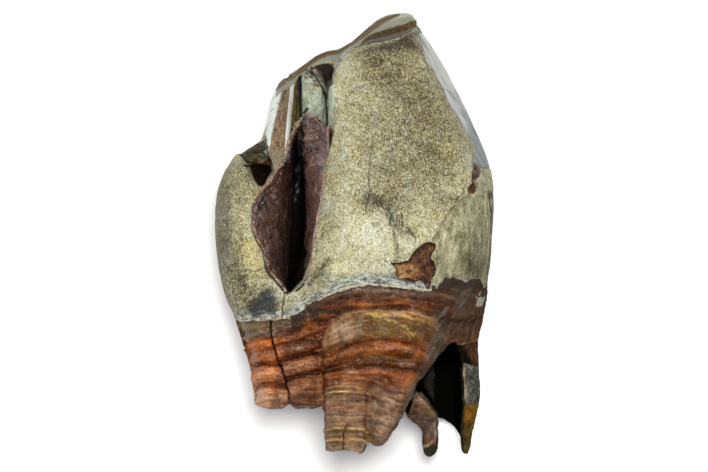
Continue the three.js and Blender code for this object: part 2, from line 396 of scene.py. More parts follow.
# Crown
# -----

WORN_FROM = 4.0  # height at which the outer chewing edge runs, Z
EDGE_PROFILE = [(-2, -0.06), (0, 0), (0.24, 0.2), (0.42, 0.55), (0.7, 0.78), (1, 1), (3, 1.6)]


def worn_surface(x, z):
    """Height in Y of the chewing surface. It falls from the cheek side's edge to the tongue side's."""
    outer = line(*OUTER_EDGE)(x)
    lobe = line(*LOBE_EDGE)(x)
    share = (z - WORN_FROM) / (line(*LOBE_EDGE_HEIGHT)(x) - WORN_FROM)
    return outer + (lobe - outer) * line(*EDGE_PROFILE)(share)


def cheek_wall():
    """The broad slab on the cheek side with its two low ribs, on which the tooth lies."""
    slab = grown(
        "cheek_wall", -20, 42,
        [(-20.5, -17), (-12.5, -21), (-0.5, -22.3), (9.5, -20.5), (17.5, -17), (23.5, -15), (28.5, -13.8), (42, -12)],
        [(-20.5, 20.5), (-8.5, 23.5), (4.5, 24), (13.5, 22.2), (24.5, 17.9), (33.5, 13.4), (42, 9.6)],
        [(-20.5, 2.6), (-10.5, 0.6), (2.5, -0.2), (15.5, 0.6), (29.5, 2.6), (42, 4.4)],
        [(-20.5, 15), (-0.5, 15), (14.5, 13), (27.5, 9.5), (42, 8.4)],
        corner=0.5, rings=14,
    )
    front_rib = grown(
        "front_rib", -16, 41.7, [(-16, 3), (9.5, 3.5), (42, 3.5)], [(-16, 16), (9.5, 15.5), (42, 8.5)],
        [(-16, 1.5), (-4.5, -0.5), (11.5, -0.5), (27.5, 1.4), (42, 3.4)], 9,
    )
    rear_rib = grown(
        "rear_rib", -16, 31.5, [(-16, -16), (7.5, -15.5), (29.5, -12)], [(-16, -6), (7.5, -6.5), (29.5, -7)],
        [(-16, 1.8), (-4.5, -0.5), (11.5, -0.5), (25.5, 1.2), (31.5, 2.2)], 9,
    )
    return [slab, front_rib, rear_rib]


def front_lobe():
    """The great front lobe, with a flat facet down its front corner where the polished enamel shows."""
    lobe = grown(
        "front_lobe", -15.5, 42,
        [
            (-15.5, -12), (-4.5, -12), (3.5, -10.4), (11.5, -8.4), (19.5, -7), (27.5, -5.2), (31.5, -3.6),
            (35.5, 0.2), (42, 4),
        ],
        [
            (-15.5, 22.6), (-8.5, 24.2), (-0.5, 25), (6.5, 25.2), (11.5, 24.8), (17, 22.9), (25.5, 19.1),
            (32.5, 15.2), (36.5, 12.6), (42, 9.4),
        ],
        [(-15.5, 5), (29.5, 5), (42, 6)],
        [(-15.5, 41.5), (-8.5, 44.6), (0.5, 44), (9.5, 41.6), (19.5, 36.8), (29.5, 31), (42, 24.5)], corner=0.72,
        rings=18,
    )
    trim(lobe, (20.9, 14, 33), (0.82, 0.5, 0.283))
    return [lobe]


def rear_lobe():
    """The small rear lobe."""
    return [grown(
        "rear_lobe", -16, 15,
        [(-16, -21.2), (-11.5, -23.4), (-4.5, -24.8), (3.2, -25.2), (8.5, -24.6), (12.5, -22.7), (15, -20.6)],
        [(-16, -6), (-8.5, -9), (-0.5, -12.5), (5.5, -14), (11.5, -15.2), (15, -18.4)],
        [(-16, 6), (-0.5, 6), (9.5, 10), (15, 18)],
        [(-16, 37), (-6.5, 38), (1.5, 36.6), (7.5, 34.4), (12.5, 31), (15, 27.8)],
        corner=0.88, rings=14,
    )]


def rear_ridge():
    """The rear cross-ridge between the rear lobe and the cheek wall. Its worn top faces the tongue side."""
    return [
        grown(
            "rear_ridge", -14, 28.9,
            [
                (-14, -21), (-0.5, -20.6), (7.5, -19.2), (13.5, -17.2), (18.1, -16), (22.3, -15.5), (26.2, -14.6),
                (28.9, -12.9),
            ],
            [(-14, -8), (3.5, -10), (11.5, -11.6), (19.5, -11.5), (28.9, -11)], 4,
            [(-14, 34), (7.5, 31), (12.2, 28), (28.3, 7.5), (28.9, 6.6)], corner=0.3, rings=16,
        ),
    ]


def neck():
    """The neck, where crown and roots join."""
    return [grown(
        "neck", -23, -5.5,
        [(-23, -13), (-21.5, -17.6), (-17.5, -20.2), (-12.5, -22.8), (-5.5, -24.6)],
        [(-23, 16), (-21.5, 20.2), (-17.5, 22.4), (-12.5, 23.6), (-5.5, 24.6)],
        [(-23, 10), (-21.5, 4.4), (-17.5, 2), (-12.5, 1.2), (-5.5, 1)],
        [(-23, 24), (-21.5, 33), (-17.5, 37), (-12.5, 39.5), (-5.5, 40)],
        corner=0.75, rings=9,
    )]


def rear_root():
    """The rear root on the tongue side, broken off square."""
    return [grown(
        "rear_root", -31.3, -10.5,
        [(-31.3, -17.7), (-24, -18.6), (-20, -19.8), (-14.5, -21.7), (-10.5, -22.6)],
        [(-31.3, -5), (-10.5, -4.2)],
        [(-31.3, 15), (-10.5, 8)], [(-31.3, 33.5), (-20.5, 35.5), (-10.5, 38)],
        corner=0.6, rings=10,
    )]


def front_root():
    """The great root under the front lobe: a broad cone that ends in a column and a flatter blade beside it."""
    cone = grown(
        "front_root", -34.5, -7.5,
        [(-34.5, -4.6), (-24.5, -5.9), (-18.5, -6.4), (-12.5, -7.6), (-7.5, -6)],
        [(-34.5, 7.6), (-30.5, 9.6), (-26.5, 11.4), (-22.5, 14.6), (-18.5, 16.2), (-12.5, 17.6), (-7.5, 17.6)],
        [(-34.5, 24), (-24.5, 18), (-7.5, 8)],
        [(-34.5, 36.5), (-26.5, 40.5), (-18.5, 44), (-12.5, 44.2), (-7.5, 42)],
        corner=0.88, rings=14,
    )
    column = grown(
        "root_column", -38.9, -20.5, [(-38.9, -5.9), (-20.5, -6)], [(-38.9, 1.9), (-30.5, 2.7), (-20.5, 3.6)],
        [(-38.9, 29), (-20.5, 26)], [(-38.9, 39.4), (-30.5, 41), (-24.5, 41), (-20.5, 38)], corner=0.85, rings=8,
    )
    blade = grown(
        "root_blade", -38.3, -20.5, [(-38.3, 2.2), (-20.5, 2.4)],
        [(-38.3, 5.2), (-35.5, 7.2), (-31, 9.8), (-26.5, 11.6), (-20.5, 15)],
        [(-38.3, 27), (-20.5, 24)], [(-38.3, 34.5), (-30.5, 38), (-20.5, 42)], corner=0.7, rings=8,
    )
    return [cone, column, blade]


def cheek_roots():
    """The stump of the rear root on the cheek side, and the broken shell of the front one with its splinter."""
    stump = grown(
        "cheek_rear_root", -27.5, -12.5, [(-27.5, -16.5), (-12.5, -20.5)], [(-27.5, -6.5), (-12.5, -4)],
        [(-27.5, 3.6), (-12.5, 1.2)], [(-27.5, 13), (-12.5, 18)], corner=0.75, rings=8,
    )
    shell = grown(
        "cheek_front_root", -40.5, -12.5,
        [(-40.5, 12.5), (-35, 11.8), (-33.2, 9.8), (-31, 8.2), (-28, 7), (-20.5, 5.5), (-12.5, 5)],
        [(-40.5, 20.5), (-38, 20.9), (-34, 21.7), (-30.5, 22.5), (-24.5, 22.4), (-18.5, 22.3), (-12.5, 23)],
        [(-40.5, 5.5), (-30.5, 3), (-20.5, 1.4), (-12.5, 1.2)],
        [(-40.5, 19), (-30.5, 25), (-20.5, 28), (-12.5, 30)],
        corner=0.6, rings=14,
    )
    return [stump, shell]


def splinter():
    """The splinter that stands free beside the hollow, from its broken outline."""
    outline = through(SPLINTER, 2)
    spine = np.column_stack([
        rail((-40.7, 13.7), (-37, 13.6), (-34, 12.9), (-31, 12), (-28.5, 11.5))(outline[:, 1]), outline[:, 1],
    ])
    top = rail((-41, 15.6), (-38, 17.6), (-34, 19.6), (-30.5, 20.4), (-28.4, 19.6))(outline[:, 1])
    base = rail((-41, 12), (-36, 9.5), (-33, 4.5), (-28.4, 3.5))(outline[:, 1])

    def layer(share, size):
        return lambda points: np.column_stack([spine + (points - spine) * size, base + (top - base) * share])

    return well("root_splinter", outline, [layer(*step) for step in (
        (1.0, 0.62), (0.93, 0.88), (0.8, 1.0), (0.4, 1.0), (0.1, 0.9), (0.0, 0.7))])


def worn_cutter():
    """Everything above the chewing surface."""
    return walled("worn_cutter", (90, 100), (-17, 15), (-6, 46), worn_surface, 70)


VALLEY_FLOOR = rail((-11.9, 37), (-9.5, 29), (-4.5, 20), (3.5, 14), (15.5, 11.5), (23.5, 9.5), (43, 8.5))
VALLEY_KEEL = rail((-12, -12.2), (-5, -11.2), (5, -10.4), (13, -10.3), (27, -10.2), (43, -8))
VALLEY_MOUTH = 37.0  # height of the valley's rims
DEPTHS = [-0.15, 0, 0.2, 0.4, 0.6, 0.8, 0.93, 1]  # shares of the valley's depth
CLOSING = [1.03, 1, 0.86, 0.7, 0.55, 0.42, 0.3, 0.16]  # how wide the valley is there, where its walls close in
UPRIGHT = [1, 1, 0.99, 0.98, 0.97, 0.96, 0.94, 0.9]  # and at its far end, where they stand upright


def valley_wall(x, y):
    """Height in Z of the valley's wall above a point of its floor plan."""
    keel = VALLEY_KEEL(y)
    rim = np.where(x < keel, x_on(VALLEY_REAR_RIM, y), x_on(VALLEY_FRONT_RIM, y))
    share = np.clip((x - keel) / (rim - keel), 0, 1)
    closing = np.interp(share, CLOSING[::-1], DEPTHS[::-1])
    upright = np.interp(share, UPRIGHT[::-1], DEPTHS[::-1])
    depth = closing + (upright - closing) * ramp(y, 9, 17)
    return VALLEY_MOUTH - depth * (VALLEY_MOUTH - VALLEY_FLOOR(y))


def valley_cutter():
    """The deep valley between the lobes. Its walls close in to a keel."""
    outline = through(VALLEY_REAR_RIM + VALLEY_FRONT_RIM + [(-2, 36), (2, 44), (-11.6, 44)], 2)

    def layer(depth, closing, upright):
        def place(points):
            x, y = points[:, 0], points[:, 1]
            width = closing + (upright - closing) * ramp(y, 9, 17)
            keel = VALLEY_KEEL(y)
            height = VALLEY_MOUTH - depth * (VALLEY_MOUTH - VALLEY_FLOOR(y))
            return np.stack([keel + (x - keel) * width, y, height], 1)
        return place

    top = lambda points: np.column_stack([points, np.full(len(points), 60.0)])
    return well("valley_cutter", outline, [top] + [layer(*step) for step in zip(DEPTHS, CLOSING, UPRIGHT)])


REAR_PIT = [
    (-20.6, 13.2), (-19.4, 11.8), (-18.6, 9.8), (-17.2, 8.2), (-16.4, 8), (-15.6, 9.4), (-14.8, 11), (-15.4, 13),
    (-16, 15.5), (-16.2, 18.4), (-18.5, 22), (-24, 22), (-22.5, 15.2),
]
MID_PIT = [(-7, 29.6), (-6.8, 28.6), (-6, 27.9), (-4.8, 27.7), (-3.9, 28.4), (-3.6, 29.6), (-4.2, 30.5), (-5.6, 30.7)]


def pit_cutter(name, outline, levels):
    """A pit with that outline at its mouth. levels are (height, size, shift in X, shift in Y)."""
    outline = np.array(through(outline, 3))
    middle = outline.mean(0)

    def layer(height, size, dx, dy):
        return lambda points: np.column_stack([
            (points - middle) * size + middle + (dx, dy), np.full(len(points), float(height))])

    return well(name, outline, [layer(*step) for step in levels])


def make_crown(whole):
    """Cuts the grown bodies down to the crown: worn surface, valley and pits, and the folds that stand in them."""
    cut(whole, worn_cutter())
    cut(whole, valley_cutter())
    cut(whole, pit_cutter("rear_pit", REAR_PIT, [
        (60, 1, 0, 0), (34, 1, 0, 0), (27, 0.96, 0, 0), (20, 0.86, 0.2, 0.4), (14, 0.7, 0.6, 0.6),
        (8, 0.35, 1.2, -1.5),
    ]))
    crown = fused("tooth_crown", [whole] + crochet() + rear_shelf(), CROWN_VOXEL)
    cut(crown, pit_cutter("mid_pit", MID_PIT, [
        (60, 1, 0, 0.8), (20, 1, 0, 0.3), (15, 0.92, 0.1, 0.0), (12, 0.7, 0.25, -0.1), (10.5, 0.4, 0.4, -0.2)]))
    return crown


def rear_shelf():
    """The brown shelf behind the rear pit, between the rear lobe's tip and the cross-ridge."""
    return [
        grown(
            "rear_shelf", 4, 17.5,
            [(4, -21), (12.5, -21.2), (14.3, -20.6), (15.3, -18.9), (16.4, -17.4), (17.5, -16.2)], -13.6, 4,
            [(4, 8), (9, 10), (10.8, 13), (11.7, 21), (12.5, 23.5), (14.2, 19.5), (17.5, 12)], corner=0.35, rings=18,
            smooth=1,
        ),
    ]


def crochet():
    """The fold of enamel that stands up in the valley's far end, and the strip of wall beside it."""
    fold = grown(
        "valley_fold", 8, 29.4, [(8, -8.6), (18, -9.3), (24, -9.6), (29.4, -9.4)],
        [(8, -5.7), (18, -5.35), (24, -5.3), (29.4, -6)], 5, [(8, 13), (18, 19.5), (24, 22.5), (27, 20), (29.4, 15)],
        corner=0.5, rings=12,
    )
    trim(fold, (-7.4, 27.4, 20), (0.55, 0.8, 0.25))
    strip = grown(
        "valley_strip", 8, 26.2, [(8, -5), (18, -4.75), (26.2, -4.6)], [(8, -3), (26.2, -2.6)],
        5, [(8, 17), (18, 28), (23, 32), (26.2, 31)], corner=0.6, rings=10,
    )
    ledge = grown("valley_ledge", 13, 28.8, -12, [(13, -10.9), (20, -10.7), (28.8, -10.3)], 4,
                  [(13, 25.8), (28.3, 6.3), (28.8, 5.6)], corner=0.3, rings=10)
    return [fold, strip, ledge]


# Neck: where the crown ends and the roots begin
# ----------------------------------------------


def neck_height(x, z):
    """Height in Y of the enamel's lower edge. It follows the cervical line above and runs level on the cheek side."""
    tongue_side = line(*CERVICAL_LINE)(x)
    cheek_side = -12.2 + 0.8 * np.cos(x / 6.5)
    return cheek_side + (tongue_side - cheek_side) * ramp(z, 7, 22)


def curtain(lift, end):
    """A closed block from the wavy line round the neck, lifted by that much, as far as end along Y."""

    def edge(x, z):
        waves = np.stack([x, 0 * x, z], 1)
        return neck_height(x, z) + lift + 0.32 * rough(waves, 2.4, 11) + 0.16 * rough(waves, 0.8, 12, 2)

    return walled("curtain", (190, 130), (-30, 30), (-6, 50), edge, end)


# Hollows and breaks of the roots
# -------------------------------


def notch_cutter():
    """Between the splinter and the shell's tip the shell is broken off shorter."""
    return grown(
        "notch", -46, -33.7, 8,
        [(-46, 19.8), (-40.8, 20.1), (-39.3, 19.2), (-37, 19.4), (-36, 19), (-35, 17.8), (-33.7, 15.2)],
        -20, 44, corner=0.3, rings=12, smooth=1,
    )


def hollow_cutter():
    """The hollow of the cheek-side front root, which runs up into the neck beside the great root's edge."""
    return grown(
        "hollow", -46, -19.2,
        [
            (-46, 15.2), (-34.5, 15.1), (-32.8, 14.7), (-30, 12.6), (-28.6, 11.2), (-27.6, 10.9), (-24.1, 13.2),
            (-21.5, 15.3), (-19.2, 17.1),
        ],
        [(-46, 17.6), (-38.5, 18), (-34.5, 18.9), (-30.5, 19.3), (-23.5, 19.2), (-20.1, 18.2), (-19.2, 17.8)],
        [(-46, 8.5), (-30.5, 5), (-22.5, 5.6), (-19.2, 12)], [(-46, 52), (-30.5, 52), (-22.5, 46), (-19.2, 30)],
        corner=0.4, rings=22,
    )


def canal_cutter(x, z, wide, deep, end, length):
    """A blind canal in a root's broken end."""
    return grown(
        "canal", end - 2, end + length,
        [(end, x - wide / 2), (end + length, x - wide / 5)], [(end, x + wide / 2), (end + length, x + wide / 5)],
        [(end, z - deep / 2), (end + length, z - deep / 5)], [(end, z + deep / 2), (end + length, z + deep / 5)],
        corner=0.8, rings=4,
    )


def broken_end_cutter(name, x_range, z_range, edge, jag, seed):
    """A rough break across a root's end. edge is the height in Y where the root ends at each X."""

    def face(x, z):
        return edge(x) + jag * rough(np.stack([x, 0 * x, z], 1), 3.0, seed) + 0.05 * (z - z_range[1])

    return walled(name, (70, 60), x_range, z_range, face, -60)


def crack_cutter(name, path, width, height, depth):
    """A thin wedge along an (x, y) path. height is the surface's height in Z along it, depth how deep it goes."""
    path = np.array(path, float)
    fine = np.linspace(0, len(path) - 1, 6 * len(path))
    at = np.stack([np.interp(fine, range(len(path)), path[:, k]) for k in (0, 1)], 1)
    side = np.stack([-np.gradient(at[:, 1]), np.gradient(at[:, 0])], 1)
    side /= np.linalg.norm(side, axis=1)[:, None]
    seeded = np.random.default_rng(len(path) + int(10 * width))
    wobble = seeded.uniform(-0.35, 0.35, len(at))[:, None] * width
    half = (0.5 * width * np.minimum(1, 0.35 + np.minimum(fine, fine[-1] - fine)))[:, None]
    half = half * seeded.uniform(0.7, 1.2, len(at))[:, None]
    outline = np.vstack([at + side * (wobble + half), (at + side * (wobble - half))[::-1]])
    surface = height(outline[:, 1])
    return well(name, outline, [
        lambda p: np.column_stack([p, surface + 4]),
        lambda p: np.column_stack([p, surface - 0.4 * depth]),
        lambda p: np.column_stack([p, surface - depth]),
    ])


def make_roots(whole):
    """Cuts the grown bodies down to the roots: off above the neck, then the hollow and the canals."""
    cut(whole, curtain(2.5, 60))
    for cutter in (
        hollow_cutter(),
        canal_cutter(-2, 34, 4, 5, -38.8, 7),
        canal_cutter(-11.8, 24.5, 5.6, 7.8, -31, 8),
        canal_cutter(-11.5, 8.3, 6, 5.5, -27, 7),
    ):
        cut(whole, cutter)
    return whole


# Relief: the small shapes of the surface
# ---------------------------------------

MOST_TRIANGLES = 196000  # of each of the two great pieces

RIDGE_BORDERS = [  # across the rear ridge's worn top: enamel, dentine, enamel. X at each Y
    [
        (11, -16.4), (18.1, -16), (20.3, -15.8), (22.3, -15.5), (24.5, -15), (26.2, -14.6), (27.5, -13.9),
        (28.5, -12.9),
    ],
    [
        (11, -16), (15.4, -15.3), (17.3, -15), (19.7, -14.6), (21.5, -14.1), (23.5, -13.7), (25.8, -13.2),
        (27.5, -12.9),
    ],
    [(11, -13.1), (13.2, -12.9), (18, -12.75), (22, -12.45), (26.6, -12.05), (28.5, -11.6)],
    [(11, -12.2), (13.2, -11.95), (18, -11.65), (22, -11.35), (27, -11), (28.5, -10.8)],
]
CHIP = [
    (4.6, -4.4), (5.5, -5.3), (6.9, -5.3), (8.2, -5.2), (9.4, -4.9), (10.1, -3.6), (11.2, -2.4), (12.2, -1.7),
    (13.4, -1.6), (14.3, -2), (14.2, -2.8), (13.7, -3.6), (13.3, -4.4), (14, -5.2), (14.2, -6.3), (14.1, -7.5),
    (13.4, -8.5), (13.2, -9.9), (12.6, -10), (12.3, -9.1), (11.4, -8.4), (10.2, -9), (9, -8.6), (7.5, -8.1),
    (7, -7.5), (7.1, -6.5), (6.7, -5.8),
]
CHIP_RIDGE = [(12.6, -1.6), (12.1, -3.4), (11.9, -4.8), (12.8, -6.4), (13.2, -9)]
SMALL_CHIP = [
    (21.3, 12.7), (22.2, 12.3), (22.5, 11), (22, 9.8), (20.9, 9.2), (21.6, 8), (21.1, 6.7), (19.9, 7.1), (20, 8.2),
    (20.8, 8.7), (20.6, 10), (20.9, 11.2),
]
LOWER_PANEL = [
    (20.6, 7.4), (19.7, 6.6), (18.9, 6.1), (17.9, 5.1), (16.8, 4), (15.9, 2.6), (15.1, 1.4), (14.3, -0.1),
    (13.6, -1.3), (14.2, -4), (14.4, -6), (13.4, -8.9), (13.4, -14), (30, -14), (30, 12), (21.2, 12),
]
FACE_CRACK = [
    (3.1, 17.2), (3, 15.8), (2.9, 14.3), (2.6, 12.8), (2.5, 11.4), (2.4, 10), (2.4, 8.6), (2.6, 7.5), (2.4, 6.5),
    (2, 5.1), (1.9, 3.3),
]
FACE_FOLD = [(2.4, 7.5), (4, 5.2), (6, 3.3), (7.4, 1.4), (8.3, -0.6), (8.9, -3)]
CREASES = [
    [(3.1, 5.1), (4.4, 5.3), (5.8, 4), (6.4, 2.8), (6.4, 1), (6.9, -0.2)],
    [(8.1, 3.3), (8.3, 1.3), (9.6, 0.3), (10.6, -0.8)],
    [(19.1, 6.9), (17.8, 5.6), (17.2, 4.5), (16.4, 2.6), (15.2, 0.7), (14.6, -0.8)],
]
COLUMN_SIDE = [(2.9, -23.5), (2.6, -25.6), (2.3, -28.3), (2.2, -31.5), (2.1, -34.8), (2.2, -40)]
VALLEY_CRACK = [(-12.6, -10.4), (-12.6, -12.3), (-12.9, -13.4), (-12.8, -14.4), (-13, -16)]
REAR_CRACK = [
    (-15, -15.2), (-15, -17.4), (-14.7, -19.1), (-14.3, -20.8), (-13.6, -22.9), (-13.1, -23.9), (-12.6, -25.6),
    (-12.2, -27.2), (-11.6, -29.5), (-11.2, -32),
]
COLUMN_CRACK = [(-2.1, -39.6), (-2.1, -37.2), (-2.1, -36.2), (-2, -35), (-1.7, -34.4), (-1.3, -33.8)]
ROOT_SPLIT = [(-1.4, -19.8), (-2.7, -21.3), (-4, -23.5), (-5.1, -24.4), (-5.8, -25)]
STRIP_LINES = [
    [(15.9, 25.9), (17.1, 25.2), (18.6, 23.4), (19.8, 21.5)],
    [(18.7, 25.5), (19.8, 23.1), (20.2, 21.6), (20.8, 20.1), (21.7, 18.2), (21.9, 17.2)],
]


def strip_depth(at):
    """How far a place lies inside the bare enamel down the front lobe's front corner, below 0 outside it."""
    side = (at[:, 0] - x_on(STRIP_EDGE, at[:, 1])) * 0.8
    return np.minimum(side, np.minimum(at[:, 1] - 11.6, at[:, 2] - 8))


def ridge_across(at):
    """Where a place lies across the rear ridge's worn top: 0, 1, 2 and 3 at its borders, far from them elsewhere."""
    x, y, z = at.T
    borders = [line(*border)(y) for border in RIDGE_BORDERS]
    across = np.full(len(at), -5.0)
    for i in range(3):
        between = (x >= borders[i]) & (x < borders[i + 1])
        across = np.where(between, i + (x - borders[i]) / (borders[i + 1] - borders[i]), across)
    across = np.where(x < borders[0], np.maximum(-0.6, (x - borders[0]) * 0.5), across)
    across = np.where(x >= borders[3], 3 + (x - borders[3]) * 1.5, across)
    top = line((11, 29.5), (12.2, 28), (28.3, 7.5), (29, 6))(y)
    here = (y > 10.5) & (x < -10.2) & (x > -17.4) & (z > top - 4.5) & (y < 29)
    return np.where(here, across, -5.0)


def worn_share(at, out, deepest=0.5):
    """Where a place lies on the chewing surface between the outer edge, 0, and the lobes' edge, 1, and -1 off it."""
    x, y, z = at.T
    share = (z - WORN_FROM) / (line(*LOBE_EDGE_HEIGHT)(x) - WORN_FROM)
    above = y - worn_surface(x, z)
    below = np.where((share > 0.4) & (share < 0.9), deepest, 0.35)
    on_top = (above > -below) & (above < 0.5) & (out[:, 1] > 0.05) & (z > 1.2)
    return np.where(on_top, share, -1.0)


def crown_relief(at, out):
    """How far each place of the crown stands out, in mm."""
    x, y, z = at.T
    push = 0.24 * rough(at, 8, 1) + 0.07 * rough(at, 1.8, 5) + 0.03 * rough(at, 0.8, 7, 2)
    from_neck = y - neck_height(x, z)
    push += 0.14 * (1 - ramp(from_neck, 0.2, 1.2)) + 0.26 * rough(at, 1.2, 9) * (1 - ramp(from_neck, 1, 3))
    gap, along = reach_to(at, FACE_FOLD)
    push -= (
        (0.55 * np.exp(-((gap / 0.9) ** 2)) - 0.25 * np.exp(-((gap / 2.6) ** 2))) * ramp(z, 20, 28)
        * (1 - 0.6 * along)
    )
    push += 0.22 * rough(at, 2.6, 11, stretch=(1, 1.6, 1)) * ramp(z, 14, 22)
    push -= 0.42 * ramp(strip_depth(at), -0.1, 0.25)
    faces_up = ramp(out[:, 2], 0.1, 0.5)
    push -= 0.34 * ramp(inside(at, LOWER_PANEL) + 0.2 * rough(at, 1.5, 21), 0, 0.3) * ramp(z, 14, 24)
    chip = np.maximum(inside(at, CHIP), inside(at, SMALL_CHIP)) + 0.2 * rough(at, 0.9, 23)
    ridge, _ = reach_to(at, CHIP_RIDGE)
    push -= (
        (0.85 + 0.35 * rough(at, 1.5, 24) - 0.4 * np.exp(-((ridge / 0.5) ** 2))) * ramp(chip, -0.05, 0.3) * faces_up
    )
    in_valley = ramp(inside(at, VALLEY_REAR_RIM + VALLEY_FRONT_RIM + [(-2, 36), (-11, 36)]), 0.1, 0.8) * ramp(z, 5, 8)
    push += in_valley * (0.35 * rough(at, 3.2, 31) + 0.18 * rough(at, 1.1, 33))
    across = ridge_across(at)
    push += np.where(across > -1, 0.0 - 0.3 * ramp(across, 0.9, 1.1) * (1 - ramp(across, 1.9, 2.1)), 0)
    share = worn_share(at, out)
    dentine = ramp(share, 0.05, 0.09) * (1 - ramp(share, 0.22, 0.28)) * 0.3
    pocket = ramp(share, 0.46, 0.54) * (1 - ramp(share, 0.84, 0.9)) * 0.8 * ramp(x, -1.5, 2)
    push -= dentine + pocket * (1 + 0.3 * rough(at, 1.5, 41))
    return push


FRONT_RINGS = [
    (9, 0), (9.6, -.1), (10.4, .12), (11.35, -.12), (12, .22), (12.7, .12), (13.1, -.2), (13.9, .15), (15.5, .3),
    (18.2, .22), (18.75, .14), (18.95, -.2), (19.2, .1), (20.2, .36), (21.3, -.1), (22.2, .12), (22.8, -.14),
    (23.6, .22), (24.3, -.05), (24.9, .15), (25.5, -.1), (26.4, .1), (27, -.05), (27.4, .08), (28.2, -.05),
    (29.3, .06), (30.2, -.04), (31.3, .05), (32.3, -.05), (33.5, .05), (34.2, .1), (35, -.06), (36.2, .1), (37, -.05),
    (40, 0),
]
REAR_RINGS = [
    (15, 0), (15.8, 0), (17.5, .15), (18.6, -.1), (19.3, .34), (20, -.05), (21.2, .15), (22.1, .05), (22.6, -.36),
    (23.2, .15), (24.3, .4), (25.5, .2), (26.1, -.36), (26.8, .15), (28.2, .25), (29.6, .1), (31, 0),
]
ROOT_PARTING = line((-60, -5.9), (-19.5, -5.9), (-16.5, -4.8), (-14.7, -3), (-13.8, -3), (-12, -14), (-5, -14))


def root_growth(at):
    """How far from the crown each place of the roots grew, in mm, and the share of it that belongs to the rear root.
    The growth lines run round a root in planes that tip towards its tip on the far side."""
    x, y, z = at.T
    tip = line((-39, 0.1), (-30, 0.2), (-22, 0.42), (-10, 0.5))(y)
    front = -y + tip * (np.minimum(z, 46) - 44) + 0.35 * rough(at, 6, 51)
    front = front - 0.4 * np.clip(x - 2.4, 0, 5) * ramp(-y, 24, 28) * (1 - ramp(x, 9, 11))
    across_crack = np.where(x < x_on(REAR_CRACK, y), -0.11 * (x + 20), 0.28 * (x + 13.3))
    rear = -y + 0.25 * (z - 36) + across_crack + 0.2 * rough(at, 5, 52)
    rear_share = ramp(ROOT_PARTING(y) - x, -0.35, 0.35)
    return front, rear, rear_share


def ring_height(front, rear, rear_share):
    """How far the growth rings stand out, from hollow to crest."""
    return line(*FRONT_RINGS)(front) * (1 - rear_share) + line(*REAR_RINGS)(rear) * rear_share


def roots_relief(at, out):
    """How far each place of the roots stands out, in mm."""
    x, y, z = at.T
    front, rear, rear_share = root_growth(at)
    rings = ring_height(front, rear, rear_share)
    tongue_side = ramp(z, 12, 24) * (1 - ramp(x, 15, 18) * ramp(y, -30, -24))
    push = (
        rings * (0.3 + 1.5 * tongue_side * (1 + 0.8 * rough(at, 3.5, 64))) * ramp(out[:, 2], -0.2, 0.3)
        * (1 - 0.8 * ramp(x, 9, 11))
    )
    along = np.stack([x * 0.35, -np.where(rear_share > 0.5, rear, front), z * 0.3], 1)
    push += (
        0.2 * rough(along, 0.9, 61) * (1 - 0.7 * ramp(x, 10, 12)) + 0.3 * rough(at, 3.2, 62)
        + 0.14 * rough(at, 1.1, 63, 2)
    )
    from_neck = neck_height(x, z) - y
    push -= 0.16 * (1 - ramp(from_neck, -0.4, 0.4)) + 0.6 * (1 - ramp(from_neck, -1.9, -0.5))
    parting = np.abs(x - ROOT_PARTING(y))
    push -= 0.5 * np.exp(-((parting / 0.45) ** 2)) * ramp(-y, 14.5, 17) * ramp(z, 20, 30)
    side = x - x_on(COLUMN_SIDE, y)
    column = ramp(-y, 24.5, 28) * ramp(z, 20, 30) * (x > -6.5)
    push += (
        column
        * (
            0.45 * np.exp(-(((side + 1.5) / 1.3) ** 2)) - 0.75 * np.exp(-(((side - 0.35) / 0.55) ** 2))
            - 0.35 * ramp(side, 0, 0.6)
        )
    )
    return push


def carve(piece, relief, voxel):
    """Gives a piece its fine skin and raises the relief on it."""
    finish_with(piece, "REMESH", mode="VOXEL", voxel_size=voxel)
    finish_with(piece, "SMOOTH", factor=0.5, iterations=1)
    at, out = places(piece), directions(piece)
    put(piece, at + out * relief(at, out)[:, None])


def thin(piece):
    """Leaves at most MOST_TRIANGLES, most of them where the surface bends."""
    triangles = sum(len(face.vertices) - 2 for face in piece.data.polygons)
    if triangles > MOST_TRIANGLES:
        finish_with(piece, "DECIMATE", ratio=MOST_TRIANGLES / triangles)
    finish_with(piece, "TRIANGULATE")


# Valley lining: two thin lumpy sheets that cling to the valley's walls, with free broken edges at its far end
# ------------------------------------------------------------------------------------------------------------


def lining_sheet(name, low_side, high_side, height, seed):
    """A sheet between two sides. Each side is a rail of X over Y, with the Y where it starts and ends."""
    (low_x, low_start, low_end), (high_x, high_start, high_end) = low_side, high_side
    bpy.ops.object.select_all(action="DESELECT")
    bpy.ops.mesh.primitive_grid_add(x_subdivisions=70, y_subdivisions=220, size=1)
    sheet = bpy.context.object
    sheet.name = name
    flat = places(sheet)
    across, along = flat[:, 0] + 0.5, flat[:, 1] + 0.5
    start = low_start + (high_start - low_start) * across
    end = low_end(across) if callable(low_end) else low_end + (high_end - low_end) * across
    y = start + (end - start) * along
    x = low_x(y) + (high_x(y) - low_x(y)) * across
    plan = np.stack([x, y, 0 * x], 1)
    ragged = 0.3 * rough(plan, 1.3, seed + 9) * ramp(along, 0.9, 1)
    held = 1 - ramp(across, 0.86, 1.0)
    z = (
        height(x, y, across)
        + held
        * (1.3 * rough(plan, 3.4, seed) + 1.0 * rough(plan, 1.3, seed + 3) + 0.22 * rough(plan, 0.5, seed + 4, 2))
    )
    put(sheet, np.stack([x + 0.25 * rough(plan, 1.6, seed + 5) * (1 - held), y + ragged, z], 1))
    mark(sheet, "free_edge", np.minimum((1 - along) * (end - start), (1 - across) * np.abs(high_x(y) - low_x(y))))
    finish_with(sheet, "SOLIDIFY", thickness=0.42, offset=-1)
    return sheet


